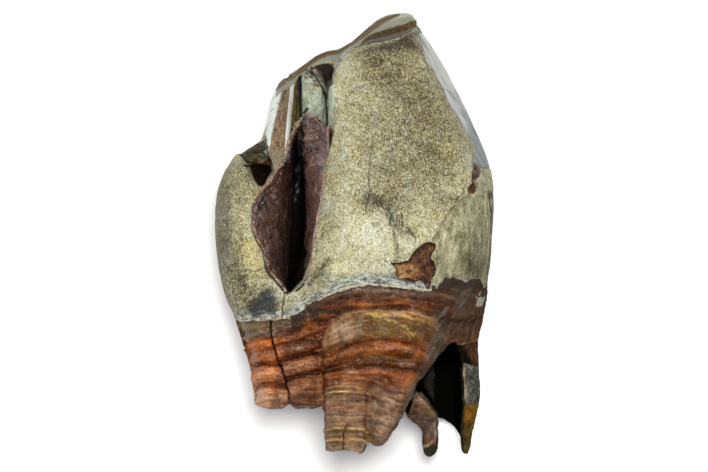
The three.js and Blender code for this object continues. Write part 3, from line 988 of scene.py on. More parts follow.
def mark(piece, name, values):
    """Keeps one number for each vertex of the piece, for its material."""
    attribute = piece.data.attributes.get(name) or piece.data.attributes.new(name, "FLOAT", "POINT")
    attribute.data.foreach_set("value", np.asarray(values, np.float32))


def rim_heights(crown, rim, beside, start, end):
    """Height of the crown's surface just beside one of the valley's rims, as a rail over Y."""
    skin = BVHTree.FromPolygons(
        [tuple(at) for at in places(crown)], [tuple(face.vertices) for face in crown.data.polygons],
    )
    stations = np.linspace(start, end, 24)
    heights = []
    for y in stations:
        hit = skin.ray_cast(Vector((float(rim(y)) + beside, y, 80)), Vector((0, 0, -1)))
        heights.append(hit[0].z)
    heights = np.convolve(np.pad(heights, 2, mode="edge"), [0.1, 0.2, 0.4, 0.2, 0.1], "valid")
    return lambda y: np.interp(y, stations, heights)


def valley_lining(crown):
    """The two sheets, one on each wall of the valley, as one piece."""
    rear_rim = rail(
        (-10.6, -12.4), (-9.4, -13.3), (-8.2, -14.3), (-7, -15.5), (-5, -16), (-3, -16.5), (-1.9, -17.2),
        (0.5, -18.2), (3.5, -18.3), (6.7, -17.4), (8.3, -16.2), (10.9, -14.6), (12.5, -13), (14, -12.4), (17, -11.8),
        (21, -9.6),
    )
    rear_keel = rail(
        (-11.5, -12.2), (-8, -12.3), (-5, -12.2), (5, -11.7), (10, -11.6), (13, -11.5), (17, -10.9), (21, -9.3),
    )
    front_keel = rail((-11, -11.8), (-8, -10.6), (-5, -9.7), (5, -9), (9, -9.2), (13, -10.2), (17, -10.4), (22, -9.5))
    front_rim = rail(
        (-10.2, -10.6), (-8.8, -9.2), (-4.5, -7.8), (0.6, -7.1), (5.4, -6.3), (10.1, -5.5), (12.6, -4.8),
        (14.5, -4.8), (18.4, -4.7), (22, -4.4),
    )
    rear_side = rim_heights(crown, rear_rim, -0.3, -10.2, 12.4)
    front_side = rim_heights(crown, front_rim, 0.5, -9.8, 14)
    slope = line((0, 0), (0.12, 0.34), (0.3, 0.62), (0.6, 0.85), (1, 1))

    def rear_height(x, y, across):
        rim = np.where(y < 12, rear_side(y), np.interp(y, (12, 13, 16.8, 20.8), (rear_side(12), 27.0, 22.5, 20.5)))
        low = np.interp(y, (-11, 5, 21), (19, 18, 17))
        return np.maximum(low + (rim - low) * slope(across), np.minimum(valley_wall(x, y) + 0.5, rim)) - 0.1

    def front_height(x, y, across):
        rim = np.where(y < 12, front_side(y), np.interp(y, (12, 14.5, 22), (front_side(12), 29.0, 25.0)))
        low = np.interp(y, (-11, 5, 21), (20, 19, 21))
        return np.maximum(low + (rim - low) * across**0.8, np.minimum(valley_wall(x, y) + 0.5, rim)) - 0.1

    rear = lining_sheet("rear_lining", (rear_keel, -11, 20.9), (rear_rim, -10.6, 20.6), rear_height, 71)
    top_edge = line((0, 20.4), (0.14, 21.6), (0.45, 20.9), (0.7, 19.7), (0.88, 18.4), (1, 19.8))
    front = lining_sheet("front_lining", (front_keel, -11, top_edge), (front_rim, -10.2, 19.8), front_height, 81)
    only(rear)
    front.select_set(True)
    bpy.ops.object.join()
    rear.name = "tooth_valley_lining"
    return rear


# Marks: where each stain and finish lies
# ---------------------------------------

PALE = [  # patches of the crown: X, Y, reach along X, reach along Y, strength. Above 0 is paler, below it darker
    (-1.5, 29, 3, 3, 0.45), (-2.6, 22, 1.6, 8, 0.35), (-1, 12, 2.2, 8, 0.3), (-2, 2, 5, 8, 0.2),
    (3.5, -1.5, 6, 4.5, 0.75), (-3.5, -6, 4, 3.5, 0.4), (9, -1.5, 4, 3.2, 0.35), (18.5, 1.5, 3.4, 6, 0.12),
    (17, 7.5, 2.5, 1.5, 0.35), (2, -7.5, 7, 1.6, 0.35), (-11, -10, 2.6, 3, 0.5), (12, 13, 6, 8, 0.05),
    (3.6, 31.3, 3.4, 2.2, -0.75), (9.4, 34.2, 2.4, 1.6, -0.85), (5.2, 28, 4.5, 3.4, -0.4), (12.4, 22, 3, 4, -0.2),
    (8.2, 33, 4, 1.2, -0.5), (14, 24.5, 2.5, 5, -0.15), (3, 5.2, 2.6, 1.5, -0.45), (7.8, 6, 3.4, 2.6, -0.25),
    (15.5, 6, 1.6, 1.4, -0.4), (13.5, 17, 6, 13, -0.4), (6, 23, 7, 8, -0.2), (6, 11, 4, 6, -0.2),
    (-18.7, -3.8, 2, 3.4, 0.75), (-18.5, 9, 2.5, 2.5, -0.1), (11, 17, 8, 14, -0.28), (19, 5, 3, 2, -0.2),
    (22.5, -7, 2.5, 3, -0.5), (-20.2, -5.6, 1, 4.4, -0.6), (-15.6, 12.6, 3, 1.6, -0.6), (20.5, -5.2, 2, 3.2, -1.1),
    # (-23.6, 3, ...) darkens the rear lobe's left edge: painted shade
    (22.6, 0, 1.2, 6, -0.35), (18, -8, 3, 1.5, -0.35), (-23.6, 3, 1.8, 11, -0.55), (-21, -9.5, 3.5, 6, -0.45),
    (-20, 10, 2.6, 3.4, -0.3), (-17.5, -9, 3, 3, -0.15), (-5.5, -6.6, 1.2, 1.8, -0.25),
]
YELLOW = [
    (-18.2, -3.6, 2.4, 4, 1.2), (-22.5, 7.5, 2, 4, 0.6), (-1, 27.5, 4, 5, 0.35), (14, 21, 3, 8, 0.45),
    (0, 14, 3, 9, 0.2), (-6.8, -7.4, 0.8, 2.2, 0.8), (17.5, 12, 2.4, 4, 0.35), (-3, -4, 3, 5, 0.3),
    (-20, -3, 3, 5, 0.3),
]
BLUE = [
    (2, -8.3, 8, 1.1, 0.8), (9.5, -9.1, 3, 0.7, 0.7), (-6.6, -7, 1.6, 1.1, 0.6), (-23.5, 0, 1.4, 8, 0.5),
    # (-16.1, 14.4, ...) marks a painted highlight: the pale blue glint on the rear shelf
    (-8.5, -11, 2, 1.6, 0.4), (21, -2, 2.5, 6, 0.25), (11.2, 36.2, 2.5, 1.2, 0.8), (-16.1, 14.4, 0.4, 0.6, 1.3),
]
SMUDGES_AND_FOLD_SHADE = [  # dark smudges, and painted shade along the face's fold: path, reach, strength
    ([(-17.6, -13.9), (-16.4, -12.7), (-15.6, -11.6), (-15.2, -13.4)], 1.5, 1.4),
    ([(-15, -13.6), (-13.8, -14.9)], 1, 0.8),
    # these two follow the face's fold: painted shade of the fold
    ([(2.2, 6.5), (3.2, 5.2), (4.6, 4.9), (6, 3.7), (6.6, 2.2), (7.6, 0.9), (9.4, -0.2)], 1.1, 0.42),
    ([(2.4, 6.9), (4, 5.4), (5.4, 5.2)], 1.3, 0.35),
    ([(-4.6, -4.8), (-5.8, -6.2), (-6.9, -7.7), (-8.1, -9.1)], 0.55, 0.6),
    ([(6.9, -0.5), (7.6, -3), (7, -5)], 0.5, 0.5), ([(20.3, -2.8), (20.7, -6.6)], 0.6, 0.5),
    ([(21.4, 1.5), (22.2, -4)], 0.35, 0.4), ([(1.8, 32.6), (4.4, 33), (7, 33.7)], 0.8, 0.5),
    ([(8.4, 34.6), (10.8, 35.8)], 0.6, 0.55), ([(10.2, 33.5), (11.8, 32)], 0.6, 0.4),
]


# width of the brown band along the outer chewing edge, at each X
BAND_WIDTH = [
    (-14, 1.7), (-9.7, 1.7), (-5.5, 1.4), (-1.8, 1.2), (0.5, 1.7), (2, 2.1), (4, 2), (5.5, 1.6), (7.5, 0.8),
    (8.6, 0.3),
]
BLACK_CRACKS_AND_SHADE = [  # black cracks, and painted shade in small hollows: path, half width
    ([(-7.5, 28.9), (-6.9, 27.9), (-6.4, 27), (-5.6, 25.6), (-5.2, 25)], 0.2),
    ([(-7.9, 30), (-7.9, 29.2), (-7.6, 28.6)], 0.35), ([(-5.5, 25.3), (-5.2, 24.4)], 0.35),
    ([(-5.3, 24.6), (-5.1, 22), (-5, 18.5)], 0.2), ([(-10, 28.2), (-9.9, 24), (-9.8, 18)], 0.4),
    ([(-9.2, 21.6), (-8.6, 22.3)], 0.3), ([(-7, 20.9), (-6.3, 20)], 0.22),
    ([(-9.6, 29.2), (-9, 29.6), (-8.4, 29.3)], 0.16), ([(-20.5, 14), (-19.6, 12.9), (-18.9, 12.4)], 0.2),
    ([(-19.7, 11.9), (-18.2, 12.1), (-16.9, 12.1), (-15.4, 11)], 0.3),
    ([(-16.9, 14.9), (-15.9, 13.6), (-15, 12.3)], 0.25), ([(-18.9, 15), (-17.8, 14.3), (-17.2, 13.7)], 0.16),
    ([(-20.3, 13), (-19, 13.4), (-17.6, 13.4)], 0.1),
]
# the brown line down the front side
FAR_LINE = ([(24.0, 7.0), (24.4, 5.0), (24.6, 1.4), (24.4, -3.1), (23.9, -6.8), (23.4, -9.4)], 0.42)
RUST = [
    (-7, 26.6, 0.9, 0.45, 0.9), (9.5, 37.4, 0.9, 0.4, 0.62), (7.6, 36.6, 2.2, 0.3, 0.4), (-8.7, 27, 0.4, 1, 0.35),
    (21.2, 8.5, 0.8, 3, 0.4), (20.9, 15.5, 0.5, 2.5, 0.35), (-17.1, -2.8, 0.5, 2.6, 0.6),
]

GOLD = [
    ([(2.6, -14.3), (4.9, -15), (7.4, -15.9), (9.2, -16.8), (10.3, -18.1)], 0.26),
    ([(7.9, -17), (9.4, -18), (10.2, -19.6)], 0.05),
]
ROOT_PAINT = {  # patches of the roots by colour, as above
    "tan": [
        (-1.4, -17.2, 2.2, 2, 0.8), (-3.4, -18.2, 1.2, 1.8, 0.6), (7.4, -14.3, 1.8, 0.6, 0.9),
        (6.6, -30.4, 1.8, 0.9, 0.9), (5.8, -33.4, 2, 1, 0.7), (-0.6, -24.6, 1.6, 0.5, 0.7), (-17.5, -28.5, 3, 2, 0.8),
        (-17.5, -24.4, 2.6, 0.7, 0.6), (-9.6, -20.6, 1.4, 0.7, 0.5), (8.6, -22.9, 1.4, 0.8, 0.6),
    ],
    "olive": [
        (5, -17.2, 3, 2, 1.2), (9.3, -21.6, 1.2, 1.6, 1), (4.2, -22.1, 3, 0.6, 1), (10.4, -17.5, 1.6, 2.4, 0.6),
    ],
    "amber": [
        (4.4, -12.3, 1.8, 0.5, 1.3), (2.5, -22.4, 3.6, 0.5, 1.3), (8, -13.4, 2.4, 0.5, 1), (9.4, -21, 1.4, 1, 1),
        (3, -13.2, 1.6, 0.35, 0.8), (10.4, -19, 1, 1.4, 0.8),
    ],
    "orange": [
        (1.6, -21.1, 3.8, 0.7, 1.2), (8.9, -20.2, 1.8, 0.7, 1.1), (9.4, -27.4, 1.3, 1.8, 1), (8.2, -31, 0.8, 2.6, 1),
        (-1.2, -25.6, 1.9, 0.7, 0.9), (-8, -16.8, 1.6, 1.4, 1), (-5.5, -14.6, 1.2, 0.8, 0.8),
        (-18.4, -19.2, 2.6, 0.6, 1), (-9.4, -23.2, 1.8, 0.7, 0.8), (-9, -26.5, 1.8, 0.9, 0.7),
        (8.4, -12.2, 2.2, 0.45, 1), (1.8, -12.7, 3.2, 0.4, 1.1), (-6.6, -22.4, 0.8, 3.2, 0.5),
        (-17.5, -26.3, 2.4, 0.5, 1), (-17, -22.8, 2.6, 0.4, 1),
    ],
}


def drawn(at, strokes):
    """How deep a place lies inside dark strokes, below 0 outside them."""
    depth = np.full(len(at), -5.0)
    for path, half_width in strokes:
        gap, _ = reach_to(at, path)
        depth = np.maximum(depth, half_width - gap)
    return depth


def painted(at, patches):
    """Soft patches of a colour, added up."""
    total = np.zeros(len(at))
    for px, py, rx, ry, strength in patches:
        total += strength * np.exp(-(((at[:, 0] - px) / rx) ** 2 + ((at[:, 1] - py) / ry) ** 2))
    return total * ramp(at[:, 2], 8, 16)


def smudged_and_fold_shaded(at):
    """How dark a place is with smudges and with the painted shade of the face's fold."""
    total = np.zeros(len(at))
    for path, reach, strength in SMUDGES_AND_FOLD_SHADE:
        gap, _ = reach_to(at, path)
        total = np.maximum(total, strength * np.exp(-((gap / reach) ** 2)))
    return total * ramp(at[:, 2], 10, 18)


def crack_side(at, paths):
    """Distance from the nearest path, below 0 on its left, so that the path itself is sharp between two vertices."""
    nearest = np.full(len(at), 9.0)
    for path in paths:
        gap, _ = reach_to(at, path)
        signed = np.where(at[:, 0] < x_on(path, at[:, 1]), -gap, gap)
        nearest = np.where(gap < np.abs(nearest), signed, nearest)
    return nearest


def mark_crown(piece):
    """Writes where the crown's stains and finishes lie. Distances are in mm, above 0 inside."""
    at, out = places(piece), directions(piece)
    x, y, z = at.T
    valley = inside(
        at,
        VALLEY_REAR_RIM + VALLEY_FRONT_RIM + [(-5.5, 31.1), (-7.4, 30.6), (-8.3, 29.6), (-9.4, 29.1), (-10.6, 28.3)],
    )
    mark(piece, "valley", np.where(z < 5, -5, np.minimum(valley, z - 5)))
    mark(piece, "from_neck", y - neck_height(x, z))
    mark(piece, "strip", strip_depth(at))
    mark(piece, "chip", np.where(out[:, 2] > 0, np.maximum(inside(at, CHIP), inside(at, SMALL_CHIP)), -5))
    mark(piece, "panel", np.where(z > 12, inside(at, LOWER_PANEL), -5))
    mark(piece, "ridge", ridge_across(at))
    mark(piece, "worn", worn_share(at, out, 1.9))
    in_bands = (line(*OUTER_EDGE)(x) - y) / line(*BAND_WIDTH)(x)
    mark(piece, "from_edge", np.where((x > -14.5) & (x < 8.4) & (z < 18), in_bands, 9.0))
    mark(piece, "band_rear", ramp(-x, -2, 0))
    for name, patches in (("pale", PALE), ("yellow", YELLOW), ("blue", BLUE), ("rust", RUST)):
        mark(piece, name, painted(at, patches))
    mark(piece, "smudge_and_fold_shade", smudged_and_fold_shaded(at))
    mark(piece, "hairline", crack_side(at, STRIP_LINES))
    mark(piece, "crease", crack_side(at, CREASES))
    mark(piece, "black_cracks_and_shade", np.where(z > 3, drawn(at, BLACK_CRACKS_AND_SHADE), -5))
    mark(piece, "far_side", ramp(drawn(at, [FAR_LINE]), -0.3, 0.05) * ramp(z, 14, 17) * ramp(out[:, 2], 0, 0.2))
    shelf = [
        (-22, 18), (-21.2, 14.4), (-20.2, 13.2), (-19.0, 11.6), (-18.4, 9.8), (-17.2, 8.2), (-16.4, 8.0),
        (-15.6, 9.4), (-14.6, 11.2), (-15.2, 14.0), (-15.9, 17.8),
    ]
    mark(piece, "pit", np.where(z < 31, np.minimum(inside(at, shelf), (z - 14) * 0.3), -5))
    mark(piece, "mid_pit", np.where(z < 31, inside(at, MID_PIT), -5))


def mark_roots(piece):
    """Writes how each place of the roots grew, and where their hollow and broken pieces lie."""
    at, out = places(piece), directions(piece)
    x, y, z = at.T
    front, rear, rear_share = root_growth(at)
    mark(piece, "front_growth", front)
    mark(piece, "rear_growth", rear)
    below_dome = np.maximum(rear_share, ramp(front, 18.9, 19.5))
    crest = ring_height(front, rear, rear_share) * ramp(z, 12, 20) * (1 - ramp(x, 9, 11)) * below_dome
    mark(piece, "crest", crest)
    mark(piece, "rear_share", ramp(ROOT_PARTING(y) - x, -0.2, 0.2))
    for name, patches in ROOT_PAINT.items():
        mark(piece, name, painted(at, patches))
    mark(piece, "from_neck", neck_height(x, z) - y)
    mark(piece, "shell", np.clip(
        ramp(x, 15.0, 17.0) * ramp(-y, 9, 10) * (1 - ramp(z, 36, 40))
        + (inside(at, SPLINTER) > -0.5) * (1 - ramp(z, 22, 25)),
        0, 1,
    ))
    within = inside(at, HOLLOW)
    hollow = np.minimum(within + 0.3, 22 + 16 * np.clip(within, 0, 1) - z)
    mark(piece, "hollow", np.where((out[:, 2] > -0.5) & (z > 1.2), hollow, -5))
    mark(piece, "flap", np.where(z > 8, inside(at, FLAP), -5))
    mark(piece, "plate", np.where(z > 8, inside(at, PLATE), -5))
    mark(piece, "splinter", np.where(z < 23, inside(at, SPLINTER) + 0.4, -5))
    gap, _ = reach_to(at, SPLINTER_RIDGE)
    mark(piece, "splinter_ridge", gap)
    gap, along = reach_to(at, [(20.5, -12), (17.6, -18.6), (13.4, -24.1), (10.9, -27.8), (8.6, -32), (6, -37)])
    inner, _ = reach_to(at, [(15.6, -14.6), (15.0, -18.2), (12.8, -22.8), (10.2, -27.8)])
    gap = np.minimum(gap, inner + 0.4)
    mark(piece, "flank", np.where(z > 17, np.exp(-((gap / (0.6 + 2.2 * (1 - along) ** 1.5)) ** 2)), 0))
    mark(piece, "split", crack_side(at, [ROOT_SPLIT]))
    mark(piece, "gold", drawn(at, GOLD))
    mark(piece, "grey_streak", drawn(at, [([(1.2, -14.6), (1.0, -16.4), (0.8, -18.2)], 0.4)]))


# Finishes
# --------


class Finish:
    """A material built node by node. Its patterns are in mm."""

    def __init__(self, name):
        self.material = bpy.data.materials.new(name)
        self.material.use_nodes = True
        self.nodes = self.material.node_tree.nodes
        self.links = self.material.node_tree.links
        self.shader = self.nodes["Principled BSDF"]
        self.nodes["Material Output"].location = (900, 0)
        place = self.nodes.new("ShaderNodeTexCoord")
        in_mm = self.nodes.new("ShaderNodeVectorMath")
        in_mm.operation = "SCALE"
        in_mm.inputs["Scale"].default_value = 1 / MM
        self.links.new(place.outputs["Object"], in_mm.inputs[0])
        self.place = in_mm.outputs[0]
        self.normal = None
        self.colour = None
        self.nudge = None  # the slow wander that every mark's border takes

    def plug(self, value, socket):
        """Sets a socket to a number or colour, or links it to a node's output. A list is added up first."""
        if isinstance(value, list):
            value = self.total(value)
        if isinstance(value, bpy.types.NodeSocket):
            self.links.new(value, socket)
        elif isinstance(value, tuple) and len(value) == 3 and socket.type == "RGBA":
            socket.default_value = (*value, 1)
        else:
            socket.default_value = value

    def marked(self, name):
        """The number that the piece's mesh keeps under that name."""
        node = self.nodes.new("ShaderNodeAttribute")
        node.attribute_name = name
        return node.outputs["Fac"]

    def stretched(self, along_x, along_y, along_z, turn=0.0):
        """The place with its pattern drawn out that many times along each axis, the axes turned about Z first."""
        node = self.nodes.new("ShaderNodeMapping")
        node.vector_type = "TEXTURE"
        node.inputs["Scale"].default_value = (along_x, along_y, along_z)
        node.inputs["Rotation"].default_value = (0, 0, turn)
        self.links.new(self.place, node.inputs["Vector"])
        return node.outputs[0]

    def joined(self, x, y, z):
        """A place put together from three values."""
        node = self.nodes.new("ShaderNodeCombineXYZ")
        for value, socket in zip((x, y, z), node.inputs):
            self.plug(value, socket)
        return node.outputs[0]

    def split(self):
        """X, Y and Z of the place."""
        node = self.nodes.new("ShaderNodeSeparateXYZ")
        self.links.new(self.place, node.inputs[0])
        return node.outputs

    def noise(self, size, detail=2.0, roughness=0.5, place=None, twist=0.0):
        """Cloudy pattern whose lumps are about size mm, from 0 to 1."""
        node = self.nodes.new("ShaderNodeTexNoise")
        node.inputs["Scale"].default_value = 1 / size
        node.inputs["Detail"].default_value = detail
        node.inputs["Roughness"].default_value = roughness
        node.inputs["Distortion"].default_value = twist
        self.links.new(place or self.place, node.inputs["Vector"])
        return node.outputs["Fac"]

    def sum(self, kind, a, b=0.0, c=None):
        """Arithmetic on two or three values."""
        node = self.nodes.new("ShaderNodeMath")
        node.operation = kind
        for value, socket in zip((a, b) if c is None else (a, b, c), node.inputs):
            self.plug(value, socket)
        return node.outputs[0]

    def times(self, first, *others):
        """Values multiplied."""
        for value in others:
            first = self.sum("MULTIPLY", first, value)
        return first

    def most(self, a, b):
        """The higher of two values."""
        return self.sum("MAXIMUM", a, b)

    def offset(self, value):
        """The same pattern round 0."""
        return self.sum("SUBTRACT", value, 0.5)

    def cloud(self, *settings):
        """Noise round 0."""
        return self.offset(self.noise(*settings))

    def ragged(self, name, jag):
        """A mark whose border wanders by about half of jag."""
        return self.sum("MULTIPLY_ADD", self.nudge, jag, self.marked(name))

    def total(self, shares):
        """Values added up. A share is a value, a (value, weight) pair or a plain number."""
        start = sum(share for share in shares if isinstance(share, (int, float)))
        for share in shares:
            if not isinstance(share, (int, float)):
                value, weight = share if isinstance(share, tuple) else (share, 1)
                start = self.sum("MULTIPLY_ADD", value, weight, start)
        return start

    def thin_lines(self, size, width, twist):
        """A net of thin wandering lines, 1 on them."""
        return self.seam(self.offset(self.noise(size, 3, 0.6, twist=twist)), width, width * 0.3)

    def between(self, value, low, high):
        """0 below low, 1 above high and smooth between them. low may be the higher number."""
        node = self.nodes.new("ShaderNodeMapRange")
        node.interpolation_type = "SMOOTHSTEP"
        self.plug(value, node.inputs["Value"])
        flip = low > high
        node.inputs["From Min"].default_value = min(low, high)
        node.inputs["From Max"].default_value = max(low, high)
        node.inputs["To Min"].default_value = 1 if flip else 0
        node.inputs["To Max"].default_value = 0 if flip else 1
        return node.outputs["Result"]

    def seam(self, value, wide, sharp):
        """A line where the value passes 0: 1 within sharp of it and 0 beyond wide."""
        return self.between(self.sum("ABSOLUTE", value), wide, sharp)

    def blended(self, share, a, b, how="MIX"):
        """Colour a, and b where share is 1."""
        node = self.nodes.new("ShaderNodeMix")
        node.data_type = "RGBA"
        node.blend_type = how
        self.plug(share, node.inputs["Factor"])
        self.plug(a, node.inputs[6])
        self.plug(b, node.inputs[7])
        return node.outputs[2]

    def two_tone(self, value, low, high, dark, light):
        """One colour where the value is below low and another where it is above high."""
        return self.blended(self.between(value, low, high), dark, light)

    def paint(self, mask, strength, paint, how="MIX"):
        """Lays a colour over the finish, as strongly as that where the mask is 1."""
        share = mask if strength == 1 else self.times(mask, strength)
        self.colour = self.blended(share, self.colour, paint, how)

    def shaded(self, value, stops):
        """A colour for each value from (value, red, green, blue) stops, at most 32."""
        low, high = stops[0][0], stops[-1][0]
        spread = self.nodes.new("ShaderNodeMapRange")
        self.plug(value, spread.inputs["Value"])
        spread.inputs["From Min"].default_value = low
        spread.inputs["From Max"].default_value = high
        node = self.nodes.new("ShaderNodeValToRGB")
        steps = node.color_ramp.elements
        while len(steps) < len(stops):
            steps.new(0.5)
        for step, (at, *colour) in zip(steps, stops):
            step.position = (at - low) / (high - low)
            step.color = (*colour, 1)
        self.links.new(spread.outputs["Result"], node.inputs["Fac"])
        return node.outputs["Color"]

    def bumped(self, height, depth, strength=1.0):
        """Raises the surface by height times depth mm, on top of what was raised before."""
        node = self.nodes.new("ShaderNodeBump")
        node.inputs["Distance"].default_value = depth * MM
        node.inputs["Strength"].default_value = strength
        self.plug(height, node.inputs["Height"])
        if self.normal is not None:
            self.links.new(self.normal, node.inputs["Normal"])
        self.normal = node.outputs["Normal"]

    def finished(self, roughness, **settings):
        """The material, with the finish's colour and relief on its shader."""
        self.paint(1.0, 1, STUDIO_SHADE, "MULTIPLY")
        self.plug(self.colour, self.shader.inputs["Base Color"])
        self.plug(roughness, self.shader.inputs["Roughness"])
        for name, value in settings.items():
            self.shader.inputs[name.replace("_", " ")].default_value = value
        if self.normal is not None:
            self.links.new(self.normal, self.shader.inputs["Normal"])
        return self.material


STUDIO_SHADE = (0.68, 0.68, 0.673)  # the stage is lit brightly, so that its floor is white
SLATE = (0.05, 0.057, 0.062)
ICE_WHITE = (0.82, 0.88, 0.82)
LINING_RED = (0.075, 0.03, 0.019)
LINING_PLUM = (0.055, 0.036, 0.033)
CRACK_AND_SHADE_BLACK = (0.012, 0.009, 0.005)


def crown_finish():
    """Sandy cement, bare enamel, worn dentine, lining and pits: all that the crown shows."""
    m = Finish("cement_and_enamel")
    x, y, z = m.split()
    nudge = m.nudge = m.cloud(1.4, 3)
    drawn_out = m.stretched(1, 1.9, 1.4, 0.12)
    fine = m.cloud(0.19, 1.5, 0.6, drawn_out)
    grain = m.cloud(0.5, 3, 0.75, drawn_out)
    mottle = m.cloud(1.5, 4, 0.7)
    patch = m.cloud(5, 3, 0.55)
    # smudges, and painted shade along the face's fold, darken the cement below
    smudge_and_fold_shade = m.marked("smudge_and_fold_shade")

    # cement: sandy, cream to olive, with dark grains
    wrinkles = m.noise(0.5, 2, 0.5, m.stretched(5, 1, 1.5, 0.35))
    lower_rear = m.times(m.between(x, -13, -16), m.between(y, -4, -8))
    tone = m.total([
        m.times(m.offset(wrinkles), lower_rear), (m.marked("pale"), 0.27), (patch, 0.36), (mottle, 0.5), (grain, 0.7),
        (fine, 1.4), (smudge_and_fold_shade, -0.3), 0.49,
    ])
    m.colour = m.shaded(tone, [
        (0, 0.035, 0.028, 0.016), (0.2, 0.13, 0.11, 0.055), (0.36, 0.26, 0.23, 0.125), (0.5, 0.41, 0.375, 0.225),
        (0.64, 0.55, 0.525, 0.33), (0.8, 0.72, 0.71, 0.5), (1, 0.88, 0.88, 0.74)])
    hue = m.noise(3.2, 4, 0.68, m.stretched(1, 1.3, 1, 0.3))
    m.paint(m.between(hue, 0.5, 0.66), 0.45, (1.03, 0.93, 0.66), "MULTIPLY")
    m.paint(m.between(hue, 0.48, 0.34), 0.5, (0.88, 0.98, 1.22), "MULTIPLY")
    yellow = m.times(m.marked("yellow"), m.between(m.noise(1.2, 3), 0.3, 0.65))
    m.paint(yellow, 0.7, (1.12, 1.02, 0.58), "MULTIPLY")
    blue = m.times(m.marked("blue"), m.between(m.noise(0.8, 3), 0.3, 0.6))
    m.paint(blue, 1, (0.62, 0.76, 1), "MULTIPLY")
    veins = m.thin_lines(1.5, 0.034, 0.6)
    crackle = m.times(m.thin_lines(2.8, 0.014, 0.9), m.between(m.noise(3.5, 2), 0.5, 0.62))
    cracked = m.most(m.times(veins, m.between(m.most(smudge_and_fold_shade, m.marked("blue")), 0.1, 0.5)), m.times(crackle, 0.6))
    m.paint(cracked, 0.75, (0.05, 0.05, 0.045))
    dark_specks = m.between([m.noise(0.36, 1, 0.5), (mottle, 0.3), (m.marked("pale"), 0.05)], 0.31, 0.26)
    m.paint(dark_specks, 0.85, (0.04, 0.032, 0.018))
    crease = m.times(
        m.seam([(nudge, 1.3), (grain, 0.5), m.marked("crease")], 0.24, 0.06), m.between(m.noise(0.9, 2), 0.36, 0.5),
    )
    m.paint(crease, 0.8, (0.045, 0.04, 0.035))
    # painted highlights: small pale glints on the cement
    painted_glints = m.times(m.between(m.noise(0.3, 1), 0.66, 0.72), m.between(patch, -0.15, 0.1))
    m.paint(painted_glints, 0.7, (0.9, 0.9, 0.85))
    above_neck = m.total([(mottle, 3), (patch, 1.5), m.marked("from_neck")])
    lumpy_neck = m.times(m.between(above_neck, 0.3, 0.8), m.between(above_neck, 2.3, 1.4))
    contours = m.joined(m.times(x, 0.28), m.marked("from_neck"), m.times(z, 0.3))
    m.paint(lumpy_neck, 0.8, m.shaded([(m.cloud(0.42, 3, 0.6, contours), 1.9), (fine, 0.8), 0.47], [
        (0.12, 0.03, 0.04, 0.05), (0.36, 0.17, 0.21, 0.23), (0.5, 0.42, 0.45, 0.41), (0.62, 0.58, 0.59, 0.49),
        (0.85, 0.75, 0.74, 0.62),
    ]))
    # slate smudges, and painted shade along the face's fold
    slate_smudge_and_fold_shade = m.between([(grain, 2.2), (mottle, 1.4), smudge_and_fold_shade, -0.3], 0.15, 0.75)
    m.paint(slate_smudge_and_fold_shade, 0.8, SLATE)

    # lower front panel: bare enamel, smoother and greener, with dark streaks
    panel = m.between(m.ragged("panel", 0.7), -0.05, 0.12)
    streaks = m.cloud(0.9, 3, 0.6, m.stretched(1, 4, 1, -0.12))
    panel_tone = m.total([(streaks, 1.1), (fine, 0.7), (mottle, 0.5), (m.marked("pale"), 0.26), 0.48])
    panel_colour = m.shaded(panel_tone, [
        (0.1, 0.06, 0.055, 0.03), (0.36, 0.2, 0.19, 0.105), (0.5, 0.34, 0.325, 0.19), (0.68, 0.5, 0.49, 0.32),
        (0.9, 0.7, 0.7, 0.55),
    ])
    m.paint(panel, 0.85, panel_colour)
    edge_line = m.times(m.seam(m.ragged("panel", 0.7), 0.22, 0.04), m.between(m.noise(1.2, 2), 0.42, 0.55))
    m.paint(edge_line, 0.6, (0.07, 0.055, 0.03))

    # polished strip down the front corner
    strip = m.between(m.ragged("strip", 0.3), -0.04, 0.06)
    sheen = m.total([m.cloud(1.6, 2, 0.5, m.stretched(1, 6, 3, 0.4)), (patch, 0.5), (fine, 0.12), 0.5])
    strip_colour = m.shaded([sheen, (m.between(y, 24, 15), -0.36)], [
        (0.26, 0.1, 0.12, 0.125), (0.38, 0.21, 0.23, 0.22), (0.5, 0.36, 0.38, 0.335), (0.75, 0.45, 0.475, 0.43),
    ])
    m.paint(strip, 1, strip_colour)
    hairline = m.times(m.seam(m.ragged("hairline", 0.25), 0.14, 0.04), strip)
    m.paint(hairline, 0.85, (0.05, 0.055, 0.06))
    strip_border = m.seam(m.ragged("strip", 0.35), 0.2, 0.05)
    m.paint(m.times(strip_border, m.between(m.noise(1.6, 2), 0.35, 0.6)), 0.85, (0.1, 0.07, 0.03))

